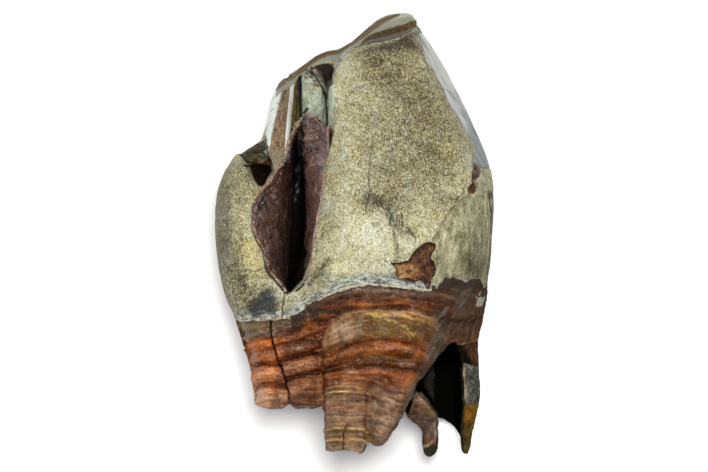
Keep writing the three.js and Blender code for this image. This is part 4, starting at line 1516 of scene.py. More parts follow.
    # chewing surface, from the outer edge to the lobes' edge
    share = m.total([(nudge, 0.12), (grain, 0.1), (fine, 0.12), m.marked("worn")])
    on_top = m.between(m.marked("worn"), -0.35, -0.2)
    worn_colour = m.shaded(share, [
        (-0.2, 0.36, 0.36, 0.31), (-0.02, 0.3, 0.29, 0.24), (0.05, 0.34, 0.34, 0.27), (0.2, 0.31, 0.315, 0.24),
        (0.34, 0.34, 0.345, 0.27), (0.42, 0.34, 0.335, 0.23), (0.455, 0.08, 0.05, 0.015), (0.5, 0.045, 0.025, 0.007),
        (0.54, 0.1, 0.042, 0.011), (0.6, 0.03, 0.015, 0.005), (0.84, 0.018, 0.01, 0.004), (0.87, 0.62, 0.48, 0.34),
        (0.91, 0.4, 0.38, 0.28), (0.94, 0.09, 0.095, 0.085), (1.02, 0.07, 0.078, 0.075), (1.3, 0.3, 0.28, 0.17),
    ])
    speckled = m.times(
        m.between([grain, (fine, 0.9), (m.marked("worn"), 0.5)], 0.24, 0.34), m.between(m.marked("worn"), 0.1, 0.3),
    )
    worn_colour = m.blended(m.times(speckled, 0.8), worn_colour, (0.085, 0.065, 0.03))
    front_end = m.times(m.between(x, 4.6, 6.6), m.between(share, 0.3, 0.22))
    worn_colour = m.blended(front_end, worn_colour, (0.46, 0.47, 0.37))
    rear_end = m.times(m.between(x, 1, -1.5), m.between(share, 0.42, 0.5))
    worn_colour = m.blended(rear_end, worn_colour, m.two_tone(
        [mottle, (grain, 0.7)], -0.12, 0.02, (0.07, 0.065, 0.04), (0.44, 0.46, 0.35),
    ))
    worn_colour = m.blended(
        0.85, worn_colour,
        m.shaded([grain, fine, 0.5], [(0.2, 0.16, 0.16, 0.15), (0.5, 0.5, 0.5, 0.5), (0.8, 0.82, 0.82, 0.8)]),
        "OVERLAY",
    )
    m.paint(on_top, 1, worn_colour)

    # rear ridge: enamel, dentine, enamel
    across = m.ragged("ridge", 0.2)
    on_ridge = m.between(m.marked("ridge"), -2, -1.2)
    fibres = m.cloud(0.6, 3, 0.6, m.stretched(0.7, 5, 2.5))
    dentine = m.shaded([(fibres, 1.5), (fine, 0.9), (nudge, 0.4), 0.5], [
        (0.2, 0.05, 0.045, 0.035), (0.36, 0.13, 0.07, 0.026), (0.5, 0.23, 0.135, 0.06), (0.62, 0.27, 0.22, 0.155),
        (0.72, 0.34, 0.175, 0.06), (0.9, 0.5, 0.4, 0.28),
    ])
    ridge_colour = m.shaded(across, [
        (-0.6, 0.62, 0.67, 0.62), (0.15, *ICE_WHITE), (0.85, 0.74, 0.79, 0.71), (0.98, 0.3, 0.27, 0.2),
        (1.05, 0.5, 0.5, 0.5), (1.92, 0.5, 0.5, 0.5), (2, 0.16, 0.11, 0.06), (2.22, 0.3, 0.19, 0.1),
        (2.32, 1, 1, 0.98), (2.85, 1, 1, 0.98), (3, 0.34, 0.29, 0.11), (3.8, 0.27, 0.22, 0.08),
        (4.4, 0.04, 0.03, 0.012),
    ])
    in_dentine = m.times(m.between(across, 0.98, 1.08), m.between(across, 2.05, 1.95))
    ridge_colour = m.blended(in_dentine, ridge_colour, dentine)
    grey_chips = m.times(m.between(m.noise(0.9, 3), 0.6, 0.68), m.between(y, 14.5, 18))
    ridge_colour = m.blended(m.times(grey_chips, 0.7), ridge_colour, (0.2, 0.23, 0.25))
    tan_end = m.times(m.between(across, 2.1, 1.9), m.between([(nudge, 1.5), y], 15.4, 14.2))
    ridge_colour = m.blended(
        m.times(tan_end, 0.8), ridge_colour, m.two_tone(fine, -0.15, 0.15, (0.14, 0.12, 0.07), (0.34, 0.31, 0.2)),
    )
    m.paint(on_ridge, 1, ridge_colour)

    # worn rear edge: brown band and greenish enamel
    from_edge = m.total([(nudge, 0.5), m.marked("from_edge")])
    band = m.shaded(from_edge, [
        (-0.6, 0.36, 0.36, 0.31), (0.18, 0.3, 0.29, 0.25), (0.27, 0.11, 0.062, 0.02), (0.84, 0.17, 0.1, 0.032),
        (0.96, 0.28, 0.29, 0.22), (1.9, 0.29, 0.305, 0.225), (2.3, 0.2, 0.18, 0.11),
    ])
    band_end = m.total([(m.marked("band_rear"), 0.5), 1.05])
    m.paint(m.between(m.sum("SUBTRACT", from_edge, band_end), 0.1, -0.1), 1, band)

    # valley: pale enamel at its far end, dark lining lower down, painted shade where it is deep
    valley = m.between(m.ragged("valley", 0.3), 0.02, 0.3)
    lined = m.between(m.sum("MULTIPLY_ADD", nudge, 3, y), 19.5, 18)
    wall = m.shaded([(grain, 0.9), (fine, 0.6), (mottle, 0.9), (patch, 0.4), 0.52], [
        (0.15, 0.1, 0.09, 0.04), (0.36, 0.26, 0.27, 0.17), (0.5, 0.45, 0.485, 0.36), (0.7, 0.6, 0.65, 0.53),
        (0.9, 0.8, 0.8, 0.72),
    ])
    wall_top = m.between([(nudge, 1.5), (x, 0.35), y], 24.4, 25)
    wall = m.blended(wall_top, wall, m.shaded([(grain, 1.6), (mottle, 1.4), (fine, 0.8), 0.5], [
        (0.25, 0.012, 0.01, 0.006), (0.42, 0.07, 0.055, 0.035), (0.55, 0.3, 0.29, 0.2), (0.75, 0.5, 0.5, 0.4),
    ]))
    wall = m.blended(m.between(x, -5.2, -4.8), wall, m.two_tone(
        [grain, (fine, 0.6)], -0.2, -0.08, (0.16, 0.13, 0.065), (0.58, 0.65, 0.5),
    ))
    wall = m.blended(m.between(x, -9.9, -10.3), wall, m.shaded(
        [grain, mottle, 0.5], [(0.2, 0.04, 0.032, 0.01), (0.5, 0.2, 0.16, 0.045), (0.8, 0.42, 0.35, 0.14)],
    ))
    # painted shade: near black low in the crevice beside the rear ridge
    wall = m.blended(m.times(m.between(z, 10.5, 8.5), m.between(x, -10.9, -10.5)), wall, (0.02, 0.016, 0.008))
    lining = m.blended(m.between(m.noise(2.5, 3), 0.4, 0.6), LINING_RED, LINING_PLUM)
    # painted shade: near black along the valley's deep keel
    lining = m.blended(m.times(m.between(x, -12.6, -12), m.between(x, -8.2, -8.8)), lining, (0.004, 0.003, 0.003))
    m.paint(valley, 1, m.blended(lined, wall, lining))
    rim = m.times(m.seam([(nudge, 0.4), m.marked("valley"), -0.05], 0.28, 0.1), m.between(x, -11.5, -12.5))
    rim = m.times(rim, m.most(m.between(m.noise(1.4, 3), 0.42, 0.56), m.between(y, 5, 8)))
    m.paint(m.times(rim, m.between(y, 13, 12), m.between(z, 20, 24)), 1, m.two_tone(
        fine, -0.1, 0.12, (0.16, 0.085, 0.05), (0.46, 0.32, 0.22),
    ))

    # chips down to the dentine
    chip_depth = m.ragged("chip", 0.4)
    chip = m.between(chip_depth, -0.02, 0.08)
    amber = m.times(m.between(x, 11.8, 10.6), m.between(y, -5, -6.2))
    chip_tone = m.total([(m.cloud(1.2, 4, 0.65), 1.1), (fine, 0.5), (grain, 0.5), (amber, 0.26), 0.31])
    chip_colour = m.shaded(chip_tone, [
        (0.12, 0.022, 0.012, 0.007), (0.32, 0.075, 0.03, 0.014), (0.46, 0.17, 0.07, 0.028), (0.6, 0.34, 0.17, 0.055),
        (0.8, 0.5, 0.34, 0.17),
    ])
    chip_colour = m.blended(
        m.times(m.between([(grain, 0.4), chip_depth], 0.42, 0.05), 0.85), chip_colour, (0.02, 0.012, 0.007),
    )
    m.paint(chip, 1, chip_colour)

    # pits and shelf: olive and brown, with painted shade: black where they are deep
    pit = m.between(m.ragged("pit", 0.6), 0, 0.25)
    pit_tone = m.total([(m.cloud(1, 3, 0.65, m.stretched(2, 1, 1, -0.25), 1.2), 2.4), grain, (fine, 0.9), 0.42])
    shelf = m.shaded(pit_tone, [
        (0.15, 0.006, 0.004, 0.001), (0.38, 0.035, 0.022, 0.004), (0.52, 0.085, 0.058, 0.01),
        (0.68, 0.17, 0.12, 0.03), (0.9, 0.34, 0.26, 0.1),
    ])
    # painted highlight: a pale blue glint on the shelf where the blue mark is strong
    shelf = m.blended(m.between([grain, m.marked("blue")], 0.5, 0.8), shelf, (0.42, 0.47, 0.5))
    # painted shade: near black in the rear pit's deep hole
    hole = m.between([(nudge, 1.6), y, (x, 0.12)], 9.9, 9.1)
    m.paint(pit, 1, m.blended(m.times(hole, 0.9), shelf, (0.018, 0.011, 0.005)))
    # painted shade: the mid pit darker the lower it lies
    mid_pit = m.between(m.ragged("mid_pit", 0.4), -0.15, 0.1)
    m.paint(mid_pit, 1, m.shaded(
        [(grain, 0.6), (z, 0.05)], [(0.45, 0.02, 0.012, 0.008), (0.65, 0.07, 0.042, 0.032), (0.9, 0.17, 0.11, 0.08)],
    ))
    # black cracks, and painted shade in the small hollows and holes
    black_cracks_and_shade = m.between([(nudge, 0.45), (grain, 0.25), m.marked("black_cracks_and_shade")], -0.05, 0.1)
    m.paint(black_cracks_and_shade, 0.93, CRACK_AND_SHADE_BLACK)
    rust = m.between([m.marked("rust"), (grain, 1.5), nudge], 0.3, 0.7)
    m.paint(rust, 0.8, m.two_tone(fine, -0.1, 0.1, (0.12, 0.045, 0.012), (0.36, 0.15, 0.035)))
    m.paint(m.times(m.marked("far_side"), m.between(m.noise(1.5, 3), 0.35, 0.5)), 1, (0.055, 0.028, 0.016))

    # the enamel's ragged edge at the neck
    edge = m.total([(nudge, 0.9), (grain, 0.5), m.marked("from_neck")])
    m.paint(m.times(m.between([(grain, 2), edge], 0.62, 0.35), m.between(m.noise(0.9, 2), 0.4, 0.52)), 1, m.two_tone(
        hue, 0.4, 0.6, (0.66, 0.63, 0.5), (0.62, 0.5, 0.32),
    ))
    m.paint(m.between(edge, 0.14, 0), 1, (0.06, 0.035, 0.025))

    polished = m.most(strip, m.times(valley, lined))
    glossy = m.most(polished, m.most(m.times(on_ridge, 0.6), m.times(chip, 0.8)))
    roughness = m.total([(glossy, -0.36), (grain, 0.3), 0.68])
    dull = m.sum("SUBTRACT", 1, m.times(polished, 0.85))
    m.bumped(m.times(veins, m.between(smudge_and_fold_shade, 0.1, 0.5), -1), 0.12, 0.8)
    m.bumped(m.times(wrinkles, lower_rear), 0.35, 0.9)
    m.bumped(m.times(crease, -1), 0.15, 0.8)
    m.bumped(m.times(fine, dull), 0.1, 1)
    m.bumped(m.times(grain, dull), 0.26, 1)
    m.bumped(m.times(mottle, dull), 0.25, 0.8)
    return m.finished(roughness, Specular_IOR_Level=0.1)


ROOT_STAINS = {
    "tan": (0.6, 0.4, 0.26), "olive": (0.15, 0.085, 0.02), "amber": (0.085, 0.026, 0.004),
    "orange": (0.36, 0.105, 0.012),
}


def roots_finish(name, shine):
    """Ringed red-brown dentine, and the dark broken shell of the cheek-side root."""
    m = Finish(name)
    x, y, z = m.split()
    nudge = m.nudge = m.cloud(2.2, 3)
    fine = m.cloud(0.24, 2, 0.6)
    grain = m.cloud(0.55, 3, 0.65)
    mottle = m.cloud(1.7, 3, 0.6)
    patch = m.cloud(4.5, 3, 0.55)
    front, rear = m.marked("front_growth"), m.marked("rear_growth")
    wander = m.total([(nudge, 1.1), (grain, 0.3), (patch, 0.6)])

    front_colour = m.shaded(m.sum("ADD", wander, front), [
        (9, 0.06, 0.04, 0.03), (10.2, 0.13, 0.085, 0.065), (11.1, 0.09, 0.045, 0.032), (11.5, 0.1, 0.028, 0.008),
        (12.6, 0.1, 0.028, 0.006), (12.95, 0.05, 0.022, 0.01), (13.5, 0.15, 0.075, 0.035), (14, 0.34, 0.23, 0.15),
        (14.4, 0.14, 0.075, 0.028), (15, 0.1, 0.055, 0.015), (16.6, 0.11, 0.058, 0.016), (18.3, 0.15, 0.065, 0.018),
        (18.8, 0.22, 0.075, 0.016), (18.97, 0.11, 0.025, 0.004), (19.15, 0.22, 0.06, 0.01), (20.6, 0.26, 0.08, 0.014),
        (21.4, 0.055, 0.015, 0.003), (22.1, 0.1, 0.03, 0.004), (22.8, 0.05, 0.015, 0.003), (23.6, 0.24, 0.075, 0.022),
        (25.2, 0.14, 0.05, 0.016), (26.8, 0.28, 0.14, 0.06), (27.7, 0.2, 0.09, 0.04), (29.4, 0.27, 0.16, 0.095),
        (30.3, 0.31, 0.14, 0.06), (31.6, 0.26, 0.16, 0.1), (33.7, 0.28, 0.155, 0.08), (34.5, 0.19, 0.11, 0.05),
        (35.9, 0.22, 0.135, 0.06), (36.6, 0.17, 0.1, 0.05), (39, 0.3, 0.22, 0.13),
    ])
    rear_colour = m.shaded(m.sum("ADD", wander, rear), [
        (15, 0.2, 0.13, 0.08), (16.2, 0.08, 0.07, 0.066), (17.8, 0.095, 0.074, 0.066), (18.6, 0.12, 0.04, 0.015),
        (19, 0.34, 0.11, 0.018), (19.9, 0.33, 0.11, 0.02), (20.3, 0.18, 0.07, 0.025), (21.6, 0.33, 0.15, 0.07),
        (22.2, 0.26, 0.09, 0.02), (22.65, 0.08, 0.02, 0.004), (23.1, 0.38, 0.15, 0.045), (24.3, 0.58, 0.31, 0.17),
        (25.5, 0.4, 0.16, 0.055), (26.1, 0.12, 0.03, 0.005), (26.6, 0.42, 0.18, 0.07), (28.4, 0.66, 0.4, 0.27),
        (30.2, 0.42, 0.22, 0.12),
    ])
    tan_dome = m.times(
        m.between([(nudge, 3), x], 1.5, -4), m.times(m.between(front, 13.2, 13.8), m.between(front, 18.4, 16.8)),
    )
    front_colour = m.blended(m.times(tan_dome, 0.8), front_colour, (0.42, 0.28, 0.18))
    arcs = m.sum("ADD", [(nudge, 0.5), (grain, 0.15)], front)
    growth_lines = m.shaded(arcs, [
        (14.2, 0, 0, 0), (14.6, 1, 1, 1), (15.1, 0, 0, 0), (27, 0, 0, 0), (27.25, 0.9, 0.9, 0.9), (27.6, 0, 0, 0),
        (33.8, 0, 0, 0), (34.1, 1.5, 1.5, 1.5), (34.4, 0, 0, 0), (35.8, 0, 0, 0), (36.1, 1.5, 1.5, 1.5),
        (36.4, 0, 0, 0),
    ])
    broken = m.times(m.between(m.noise(2.4, 3), 0.34, 0.5), m.most(m.between(x, 1, 3.5), m.between(front, 16, 17)))
    broken = m.most(broken, m.between(front, 33, 33.5))
    broken = m.times(broken, m.most(m.between(x, 2.6, 2.2), m.between(front, 26, 25)))
    front_colour = m.blended(m.times(growth_lines, broken), front_colour, (0.56, 0.38, 0.13))
    m.colour = m.blended(m.marked("rear_share"), front_colour, rear_colour)
    right_half = m.times(m.marked("rear_share"), m.between([nudge, (y, -0.25), x], -8.2, -6.8))
    m.paint(m.marked("rear_share"), 1, (1.15, 0.98, 0.78), "MULTIPLY")
    m.paint(right_half, 0.85, (0.24, 0.19, 0.15), "MULTIPLY")
    along = m.joined(m.times(x, 0.16), front, m.times(z, 0.12))
    rings = m.cloud(0.6, 3, 0.6, along)
    fine_rings = m.cloud(0.26, 2, 0.6, m.joined(m.times(x, 0.05), front, m.times(z, 0.05)))
    wear = m.total([
        (m.times(fine_rings, m.between(front, 20, 27)), 1.3), rings, (fine, 0.6), (grain, 0.5), (mottle, 0.7),
        (patch, 0.6), 0.5,
    ])
    m.paint(
        1, 1,
        m.shaded(wear, [
            (0.1, 0.26, 0.19, 0.15), (0.35, 0.66, 0.58, 0.5), (0.5, 1, 0.95, 0.88), (0.68, 1.45, 1.38, 1.25),
            (0.9, 2.1, 2.1, 2.1),
        ]),
        "MULTIPLY",
    )
    m.paint(1, 1, m.two_tone(front, 25, 27, (1.08, 0.92, 0.7), (0.86, 0.85, 0.82)), "MULTIPLY")
    for stain, paint in ROOT_STAINS.items():
        spread = m.total([m.marked(stain), (rings, 1.2), (mottle, 0.9), (grain, 0.5)])
        m.paint(m.between(spread, 0.15, 1.15), 0.85, m.blended(
            m.between([rings, (fine, 0.7)], -0.2, 0.2), tuple(0.62 * part for part in paint),
            tuple(1.25 * part for part in paint),
        ))
    blade = m.times(m.between(x, 2.4, 3.2), m.between(y, -25.5, -29))
    m.paint(blade, 0.6, m.two_tone(mottle, -0.15, 0.15, (0.16, 0.075, 0.04), (0.36, 0.24, 0.16)))
    # grey down the front root's right flank: partly its streaky colour, partly painted rim light
    flank_grey_and_rim_light = m.shaded([(m.cloud(0.6, 3, 0.6, m.stretched(1, 6, 2, -0.65)), 1.2), (fine, 0.6), 0.5], [
        (0.2, 0.02, 0.018, 0.015), (0.5, 0.082, 0.072, 0.058), (0.8, 0.26, 0.23, 0.18)])
    m.paint(m.marked("flank"), 0.85, flank_grey_and_rim_light)

    # the cheek-side root: dark brown, slate and ochre on its broken shell
    streaks = m.cloud(0.8, 4, 0.65, m.stretched(1, 3.3, 1.6))
    depth = m.sum("MULTIPLY_ADD", nudge, 1.4, m.times(y, -1))
    shell_colour = m.shaded(depth, [
        (8, 0.07, 0.04, 0.026), (12, 0.09, 0.05, 0.032), (17, 0.08, 0.046, 0.03), (19.5, 0.12, 0.055, 0.028),
        (21, 0.05, 0.02, 0.01), (23.4, 0.02, 0.01, 0.005), (24, 0.08, 0.078, 0.06), (30.5, 0.1, 0.098, 0.078),
        (31.3, 0.18, 0.078, 0.012), (33.6, 0.19, 0.085, 0.014), (34.6, 0.1, 0.055, 0.012), (38, 0.06, 0.05, 0.018),
        (41, 0.16, 0.09, 0.016),
    ])
    plate = m.between(m.ragged("plate", 0.5), -0.1, 0.1)
    shell_colour = m.blended(plate, shell_colour, m.shaded(
        [(grain, 1.2), fine, 0.5], [(0.15, 0.022, 0.02, 0.016), (0.5, 0.078, 0.078, 0.064), (0.8, 0.19, 0.19, 0.16)],
    ))
    flap = m.between(m.ragged("flap", 0.4), -0.05, 0.1)
    shell_colour = m.blended(
        flap, shell_colour, m.two_tone([x, (y, 0.55), nudge], 7.6, 9.4, (0.008, 0.006, 0.004), (0.075, 0.034, 0.018)),
    )
    flap_edge = m.times(m.seam(m.ragged("flap", 0.4), 0.22, 0.06), m.between(y, -21.5, -20.5))
    shell_colour = m.blended(m.times(flap_edge, m.between(x, 18.4, 19.2), 0.8), shell_colour, (0.22, 0.165, 0.06))
    left_strip = m.times(m.between([(nudge, 0.6), (y, -0.06), x], 21.9, 21.5), m.between(y, -29.8, -30.6))
    shell_colour = m.blended(left_strip, shell_colour, (0.035, 0.032, 0.012))
    tan_line = m.times(m.seam([(nudge, 0.4), (y, 0.12), x, -16.4], 0.32, 0.12), m.times(
        m.between(y, -23.5, -24.2), m.between(y, -31, -30),
    ))
    shell_colour = m.blended(m.times(tan_line, 0.8), shell_colour, (0.3, 0.23, 0.13))
    splinter = m.between(m.marked("splinter"), 0, 0.2)
    splinter_colour = m.shaded(m.sum("ADD", wander, m.times(y, -1)), [
        (28, 0.12, 0.075, 0.055), (31, 0.14, 0.09, 0.068), (36.8, 0.13, 0.086, 0.062), (37.8, 0.13, 0.042, 0.017),
        (38.3, 0.038, 0.036, 0.02), (41, 0.042, 0.042, 0.026),
    ])
    ridge = m.between([(nudge, 0.5), m.marked("splinter_ridge")], 0.38, 0.12)
    splinter_colour = m.blended(m.times(ridge, 0.75), splinter_colour, (0.33, 0.24, 0.16))
    shell_colour = m.blended(splinter, shell_colour, splinter_colour)
    shell_colour = m.blended(
        1, shell_colour,
        m.shaded([(streaks, 1.2), (fine, 0.7), (mottle, 0.7), 0.5], [
            (0.15, 0.35, 0.33, 0.3), (0.5, 1, 1, 1), (0.85, 2.4, 2.4, 2.4),
        ]),
        "MULTIPLY",
    )
    m.paint(m.marked("shell"), 1, shell_colour)
    pale_spot = m.between(
        [
            (nudge, 3), (mottle, 2), grain, (m.sum("ABSOLUTE", [x, -22.3]), -1),
            (m.sum("ABSOLUTE", [(y, 0.7), 8.4]), -1), 1,
        ],
        0, 0.3,
    )
    m.paint(m.times(pale_spot, m.between(z, 12, 20)), 1, m.two_tone(
        fine, -0.15, 0.15, (0.22, 0.22, 0.17), (0.55, 0.55, 0.45),
    ))
    yellow_patch = m.times(m.between([(mottle, 4), x], -16, -17), m.between([(mottle, 2), y], -17.6, -16.6))
    m.paint(yellow_patch, 0.55, (0.24, 0.17, 0.08))

    gold = m.times(
        m.between([(nudge, 0.5), (grain, 0.5), m.marked("gold")], -0.12, 0.12), m.between(m.noise(0.9, 2), 0.36, 0.5),
    )
    m.paint(gold, 0.72, (0.48, 0.34, 0.08))
    grey_streak = m.between([(grain, 0.6), m.marked("grey_streak")], -0.25, 0.2)
    m.paint(grey_streak, 0.4, (0.22, 0.17, 0.11))
    split = m.seam(m.ragged("split", 0.4), 0.16, 0.05)
    m.paint(split, 0.85, (0.015, 0.007, 0.004))
    neck = m.between(m.ragged("from_neck", 1.6), 0.75, 0)
    m.paint(neck, 0.75, (0.045, 0.03, 0.025))
    dark_specks = m.between(m.noise(0.6, 2), 0.3, 0.22)
    m.paint(dark_specks, 0.8, (0.03, 0.016, 0.01))
    # painted shade: near black inside the cheek-side root's hollow
    hollow = m.between(m.marked("hollow"), 0, 0.3)
    m.paint(hollow, 1, (0.003, 0.003, 0.002))

    raised = m.sum("SUBTRACT", 1, hollow)
    crest = m.total([(rings, 0.35), (mottle, 0.5), m.marked("crest")])
    # lighter on the rings' crests: partly wear, partly painted highlight
    crest_wear_and_highlight = m.times(m.between(crest, 0.1, 0.36), m.between([fine, grain], -0.1, 0.15))
    crest_wear_and_highlight = m.times(crest_wear_and_highlight, m.sum("SUBTRACT", 1, m.marked("shell")))
    m.paint(crest_wear_and_highlight, 0.4, (0.5, 0.33, 0.22))
    # painted shade: darker in the hollows between the rings
    m.paint(m.between(crest, -0.02, -0.28), 0.8, (0.3, 0.18, 0.12), "MULTIPLY")
    # painted highlights: pale glints drawn out along the growth rings
    painted_glint_place = m.joined(m.times(x, 0.45), front, m.times(z, 0.3))
    painted_glints = m.times(m.between(m.noise(0.42, 2, 0.6, painted_glint_place), 0.61, 0.7), m.between(
        [mottle, patch, (crest, 0.5), (m.marked("shell"), -0.25)], -0.02, 0.16,
    ))
    painted_glints = m.times(painted_glints, m.times(raised, m.between(z, 12, 24)))
    m.paint(painted_glints, 0.5, (0.58, 0.5, 0.43))
    roughness = m.total([(grain, 0.3), (patch, 0.2), (hollow, 0.5), (m.marked("shell"), 0.3), 0.17])
    m.bumped(m.times(fine, raised), 0.06, 1)
    m.bumped(m.times(grain, raised), 0.24, 1)
    m.bumped(m.times(mottle, raised), 0.5, 1)
    m.bumped(m.times(rings, raised), 0.22, 1)
    return m.finished(roughness, Specular_IOR_Level=shine, Specular_Tint=(1, 0.85, 0.7, 1))


def lining_finish():
    """Dark red-brown crust with painted wet glints, painted light and shade across the valley and in its deep middle,
    and paler broken edges.
    """
    m = Finish("valley_lining")
    x, y, _ = m.split()
    grain = m.cloud(0.5, 3, 0.65)
    fine = m.cloud(0.22, 2, 0.6)
    lumps = m.cloud(1.3, 3, 0.6)
    patch = m.cloud(3, 3, 0.6)
    tone = m.total([(patch, 1.3), (lumps, 0.9), (grain, 0.5), (fine, 0.4), 0.5])
    m.colour = m.shaded(tone, [
        (0.1, 0.03, 0.016, 0.014), (0.32, 0.085, 0.052, 0.045), (0.45, 0.13, 0.085, 0.075),
        (0.55, 0.16, 0.065, 0.045), (0.7, 0.2, 0.13, 0.09), (0.9, 0.3, 0.26, 0.24),
    ])
    # painted light and shade: the rear sheet darker, the front sheet lighter, as light falls across the valley
    m.paint(
        1, 1,
        m.shaded(x, [(-13, 0.72, 0.66, 0.62), (-11, 0.72, 0.66, 0.62), (-9.5, 2.1, 2.05, 2), (-4, 2.1, 2.05, 2)]),
        "MULTIPLY",
    )
    m.paint(m.times(m.between(y, 3, 9), m.between(x, -10.5, -12)), 1, (0.62, 0.52, 0.5), "MULTIPLY")
    m.paint(m.between(y, 10, 14), 1, (0.5, 0.44, 0.42), "MULTIPLY")
    # painted highlights: pale glints along the valley's middle
    painted_glints = m.times(m.between(m.noise(0.32, 1), 0.66, 0.72), m.between(x, -11, -9))
    m.paint(painted_glints, 0.6, (0.55, 0.6, 0.66))
    # painted shade: near black down the deep middle between the two sheets
    rear_side = m.total([x, (y, -0.09), (lumps, 1.2)])
    front_side = m.total([x, (lumps, 2.4), (patch, 1.5)])
    m.paint(m.times(m.between(rear_side, -11.9, -11.2), m.between(front_side, -8.6, -9.3)), 1, (0.008, 0.005, 0.004))
    rim = m.between([(lumps, 0.6), (grain, 0.4), m.marked("free_edge")], 0.4, 0.12)
    rim = m.times(rim, m.most(m.between(x, -9.5, -10.5), m.between(y, 13, 15)))
    rim = m.times(rim, m.most(m.between(m.noise(1.4, 3), 0.42, 0.56), m.between(y, 5, 8)))
    m.paint(rim, 1, m.two_tone(fine, -0.12, 0.12, (0.16, 0.085, 0.05), (0.5, 0.33, 0.21)))
    m.bumped(fine, 0.07, 1)
    m.bumped(grain, 0.25, 1)
    m.bumped(lumps, 0.7, 1)
    return m.finished([(grain, 0.4), 0.22], Specular_IOR_Level=0.8)


# Making the tooth
# ----------------

DULL_FROM = 0.0145  # X in metres from which the roots are dull all over
STEEPER_FROM = 0.005  # and from which gentler slopes are dull too


def settle(piece, *finishes):
    """Brings a finished piece to metres and ties it to the frame."""
    at = places(piece)
    at[:, 2] = np.maximum(at[:, 2], 0)
    put(piece, at * MM)
    piece.data.materials.clear()
    for finish in finishes:
        piece.data.materials.append(finish)
    only(piece)
    bpy.ops.object.shade_smooth()
    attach(piece, "root")
    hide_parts("tooth")


def dull_faces(roots):
    """Gives the dull finish to the roots' steep faces, the broken shell, the grey flank and the front end."""
    shell, flank = np.empty((2, len(roots.data.vertices)), np.float32)
    roots.data.attributes["shell"].data.foreach_get("value", shell)
    roots.data.attributes["flank"].data.foreach_get("value", flank)
    dull = (shell > 0.2) | (flank > 0.08) | (places(roots)[:, 0] > DULL_FROM)
    faces = roots.data.polygons
    first_corners = np.array([face.vertices[0] for face in faces])
    steep = np.array([face.normal[2] < (0.7 if face.center[0] > STEEPER_FROM else 0.4) for face in faces])
    faces.foreach_set("material_index", (steep | dull[first_corners]).astype(np.int32))


def make_tooth():
    """Grows the tooth as one, parts it at the neck and finishes the pieces."""
    roots_of_cheek = cheek_roots()
    cut(roots_of_cheek[1], notch_cutter())
    bodies = (
        cheek_wall() + front_lobe() + rear_lobe() + rear_ridge() + neck() + rear_root() + front_root()
        + roots_of_cheek
    )
    whole = fused("grown", bodies, GROWN_VOXEL)
    finish_with(whole, "SMOOTH", factor=0.5, iterations=12)

    roots = fused("tooth_roots", [make_roots(copy_of(whole, "tooth_roots")), splinter()], ROOTS_VOXEL)
    carve(roots, roots_relief, ROOTS_VOXEL)
    cut(roots, broken_end_cutter(
        "rear_root_end", (-20, -5.95), (10, 40),
        line(
            (-19, -29.6), (-16.5, -30.6), (-14.5, -31.2), (-13, -30.9), (-11.8, -29.8), (-10.9, -30.8), (-8, -31.1),
            (-6, -30.4),
        ),
        0.25, 91,
    ))
    cut(roots, broken_end_cutter(
        "column_end", (-7, 2.2), (22, 46),
        line((-7, -38.9), (-5.2, -39.2), (-4.4, -38.5), (-2, -38), (0.2, -38.4), (1.2, -39), (2.2, -38.6)), 0.12, 92,
    ))
    cut(roots, crack_cutter("rear_crack", REAR_CRACK, 0.42, rail((-32, 33.8), (-16, 37)), 7))
    cut(roots, crack_cutter("column_crack", COLUMN_CRACK, 0.26, rail((-40, 39.4), (-33, 41)), 3))
    thin(roots)
    mark_roots(roots)

    crown = make_crown(whole)
    cut(crown, curtain(0, -60))
    carve(crown, crown_relief, CROWN_SKIN)
    cut(crown, crack_cutter("face_crack", FACE_CRACK, 0.17, rail((3, 43.8), (9.5, 41.6), (17.5, 38)), 1.4))
    cut(crown, crack_cutter("valley_crack", VALLEY_CRACK, 0.3, rail((-16, 37.5), (-10, 38.4)), 3))
    thin(crown)
    mark_crown(crown)

    lining = valley_lining(crown)
    settle(crown, crown_finish())
    settle(roots, roots_finish("root_dentine", 0.32), roots_finish("shell_dentine", 0.0))
    dull_faces(roots)
    settle(lining, lining_finish())


make_tooth()

# Stage: floor, light and camera
# ------------------------------

LIT_SPOT = (0, 0, 0.02)
LIGHTS = [  # name, width, place, power in watts
    ("overhead", 0.22, (0.03, 0.1, 1.1), 12), ("key", 0.4, (0.62, 0.56, 0.75), 6.5),
    ("left_fill", 0.5, (-0.8, 0.2, 0.62), 1.6), ("low_fill", 0.5, (0.05, -0.85, 0.65), 1.6),
    ("high_fill", 0.5, (-0.45, 0.75, 0.7), 1.8),
]


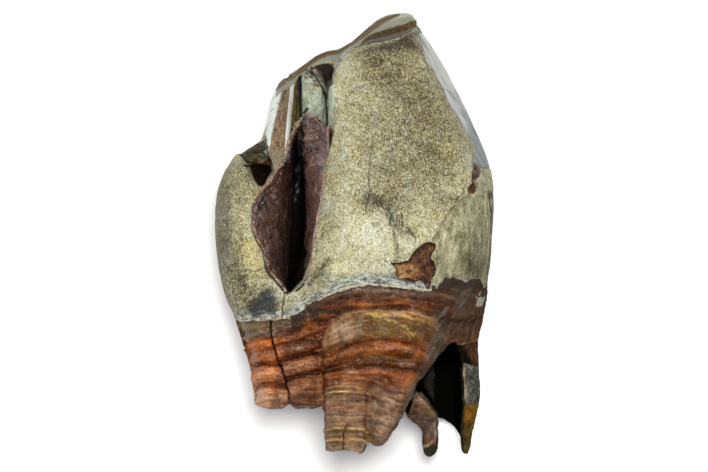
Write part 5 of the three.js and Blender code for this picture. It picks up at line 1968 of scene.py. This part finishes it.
def light_panel(name, width, place, power):
    """A square soft light that faces the tooth."""
    data = bpy.data.lights.new(name, "AREA")
    data.shape = "RECTANGLE"
    data.size = data.size_y = width
    data.energy = power
    panel = bpy.data.objects.new(name, data)
    bpy.context.scene.collection.objects.link(panel)
    panel.location = place
    panel.rotation_euler = (Vector(LIT_SPOT) - Vector(place)).to_track_quat("-Z", "Y").to_euler()


def set_stage():
    """A white paper floor under plain soft light."""
    bpy.ops.object.select_all(action="DESELECT")
    bpy.ops.mesh.primitive_plane_add(size=3)
    floor = bpy.context.object
    floor.name = "floor"
    paper = bpy.data.materials.new("white_paper")
    paper.use_nodes = True
    world = bpy.data.worlds.new("studio")
    world.use_nodes = True
    for holder, node, name, value in (
        (paper, "Principled BSDF", "Base Color", (0.93, 0.93, 0.93, 1)),
        (paper, "Principled BSDF", "Roughness", 0.9),
        (paper, "Principled BSDF", "Emission Color", (1, 1, 1, 1)),
        (paper, "Principled BSDF", "Emission Strength", 0.05),
        (world, "Background", "Color", (1, 1, 1, 1)),
        (world, "Background", "Strength", 0.1),
    ):
        holder.node_tree.nodes[node].inputs[name].default_value = value
    floor.data.materials.append(paper)
    bpy.context.scene.world = world
    for light in LIGHTS:
        light_panel(*light)
    bpy.context.scene.view_settings.view_transform = "Standard"


VIEW_MIDDLE = (-0.18e-3, -0.594e-3)  # X and Y in metres
VIEW_HEIGHT = 0.022  # the view is measured at this height
CAMERA_DISTANCE = 1.0  # above it
MM_PER_PIXEL = 0.18
IMAGE_WIDTH = 708
SENSOR_WIDTH = 36


def set_camera():
    """Looks straight down on the tooth."""
    data = bpy.data.cameras.new("camera")
    data.sensor_width = SENSOR_WIDTH
    data.lens = SENSOR_WIDTH * CAMERA_DISTANCE / (IMAGE_WIDTH * MM_PER_PIXEL * MM)
    data.clip_start = 0.01
    camera = bpy.data.objects.new("camera", data)
    bpy.context.scene.collection.objects.link(camera)
    camera.location = (*VIEW_MIDDLE, VIEW_HEIGHT + CAMERA_DISTANCE)
    bpy.context.scene.camera = camera


set_stage()
set_camera()
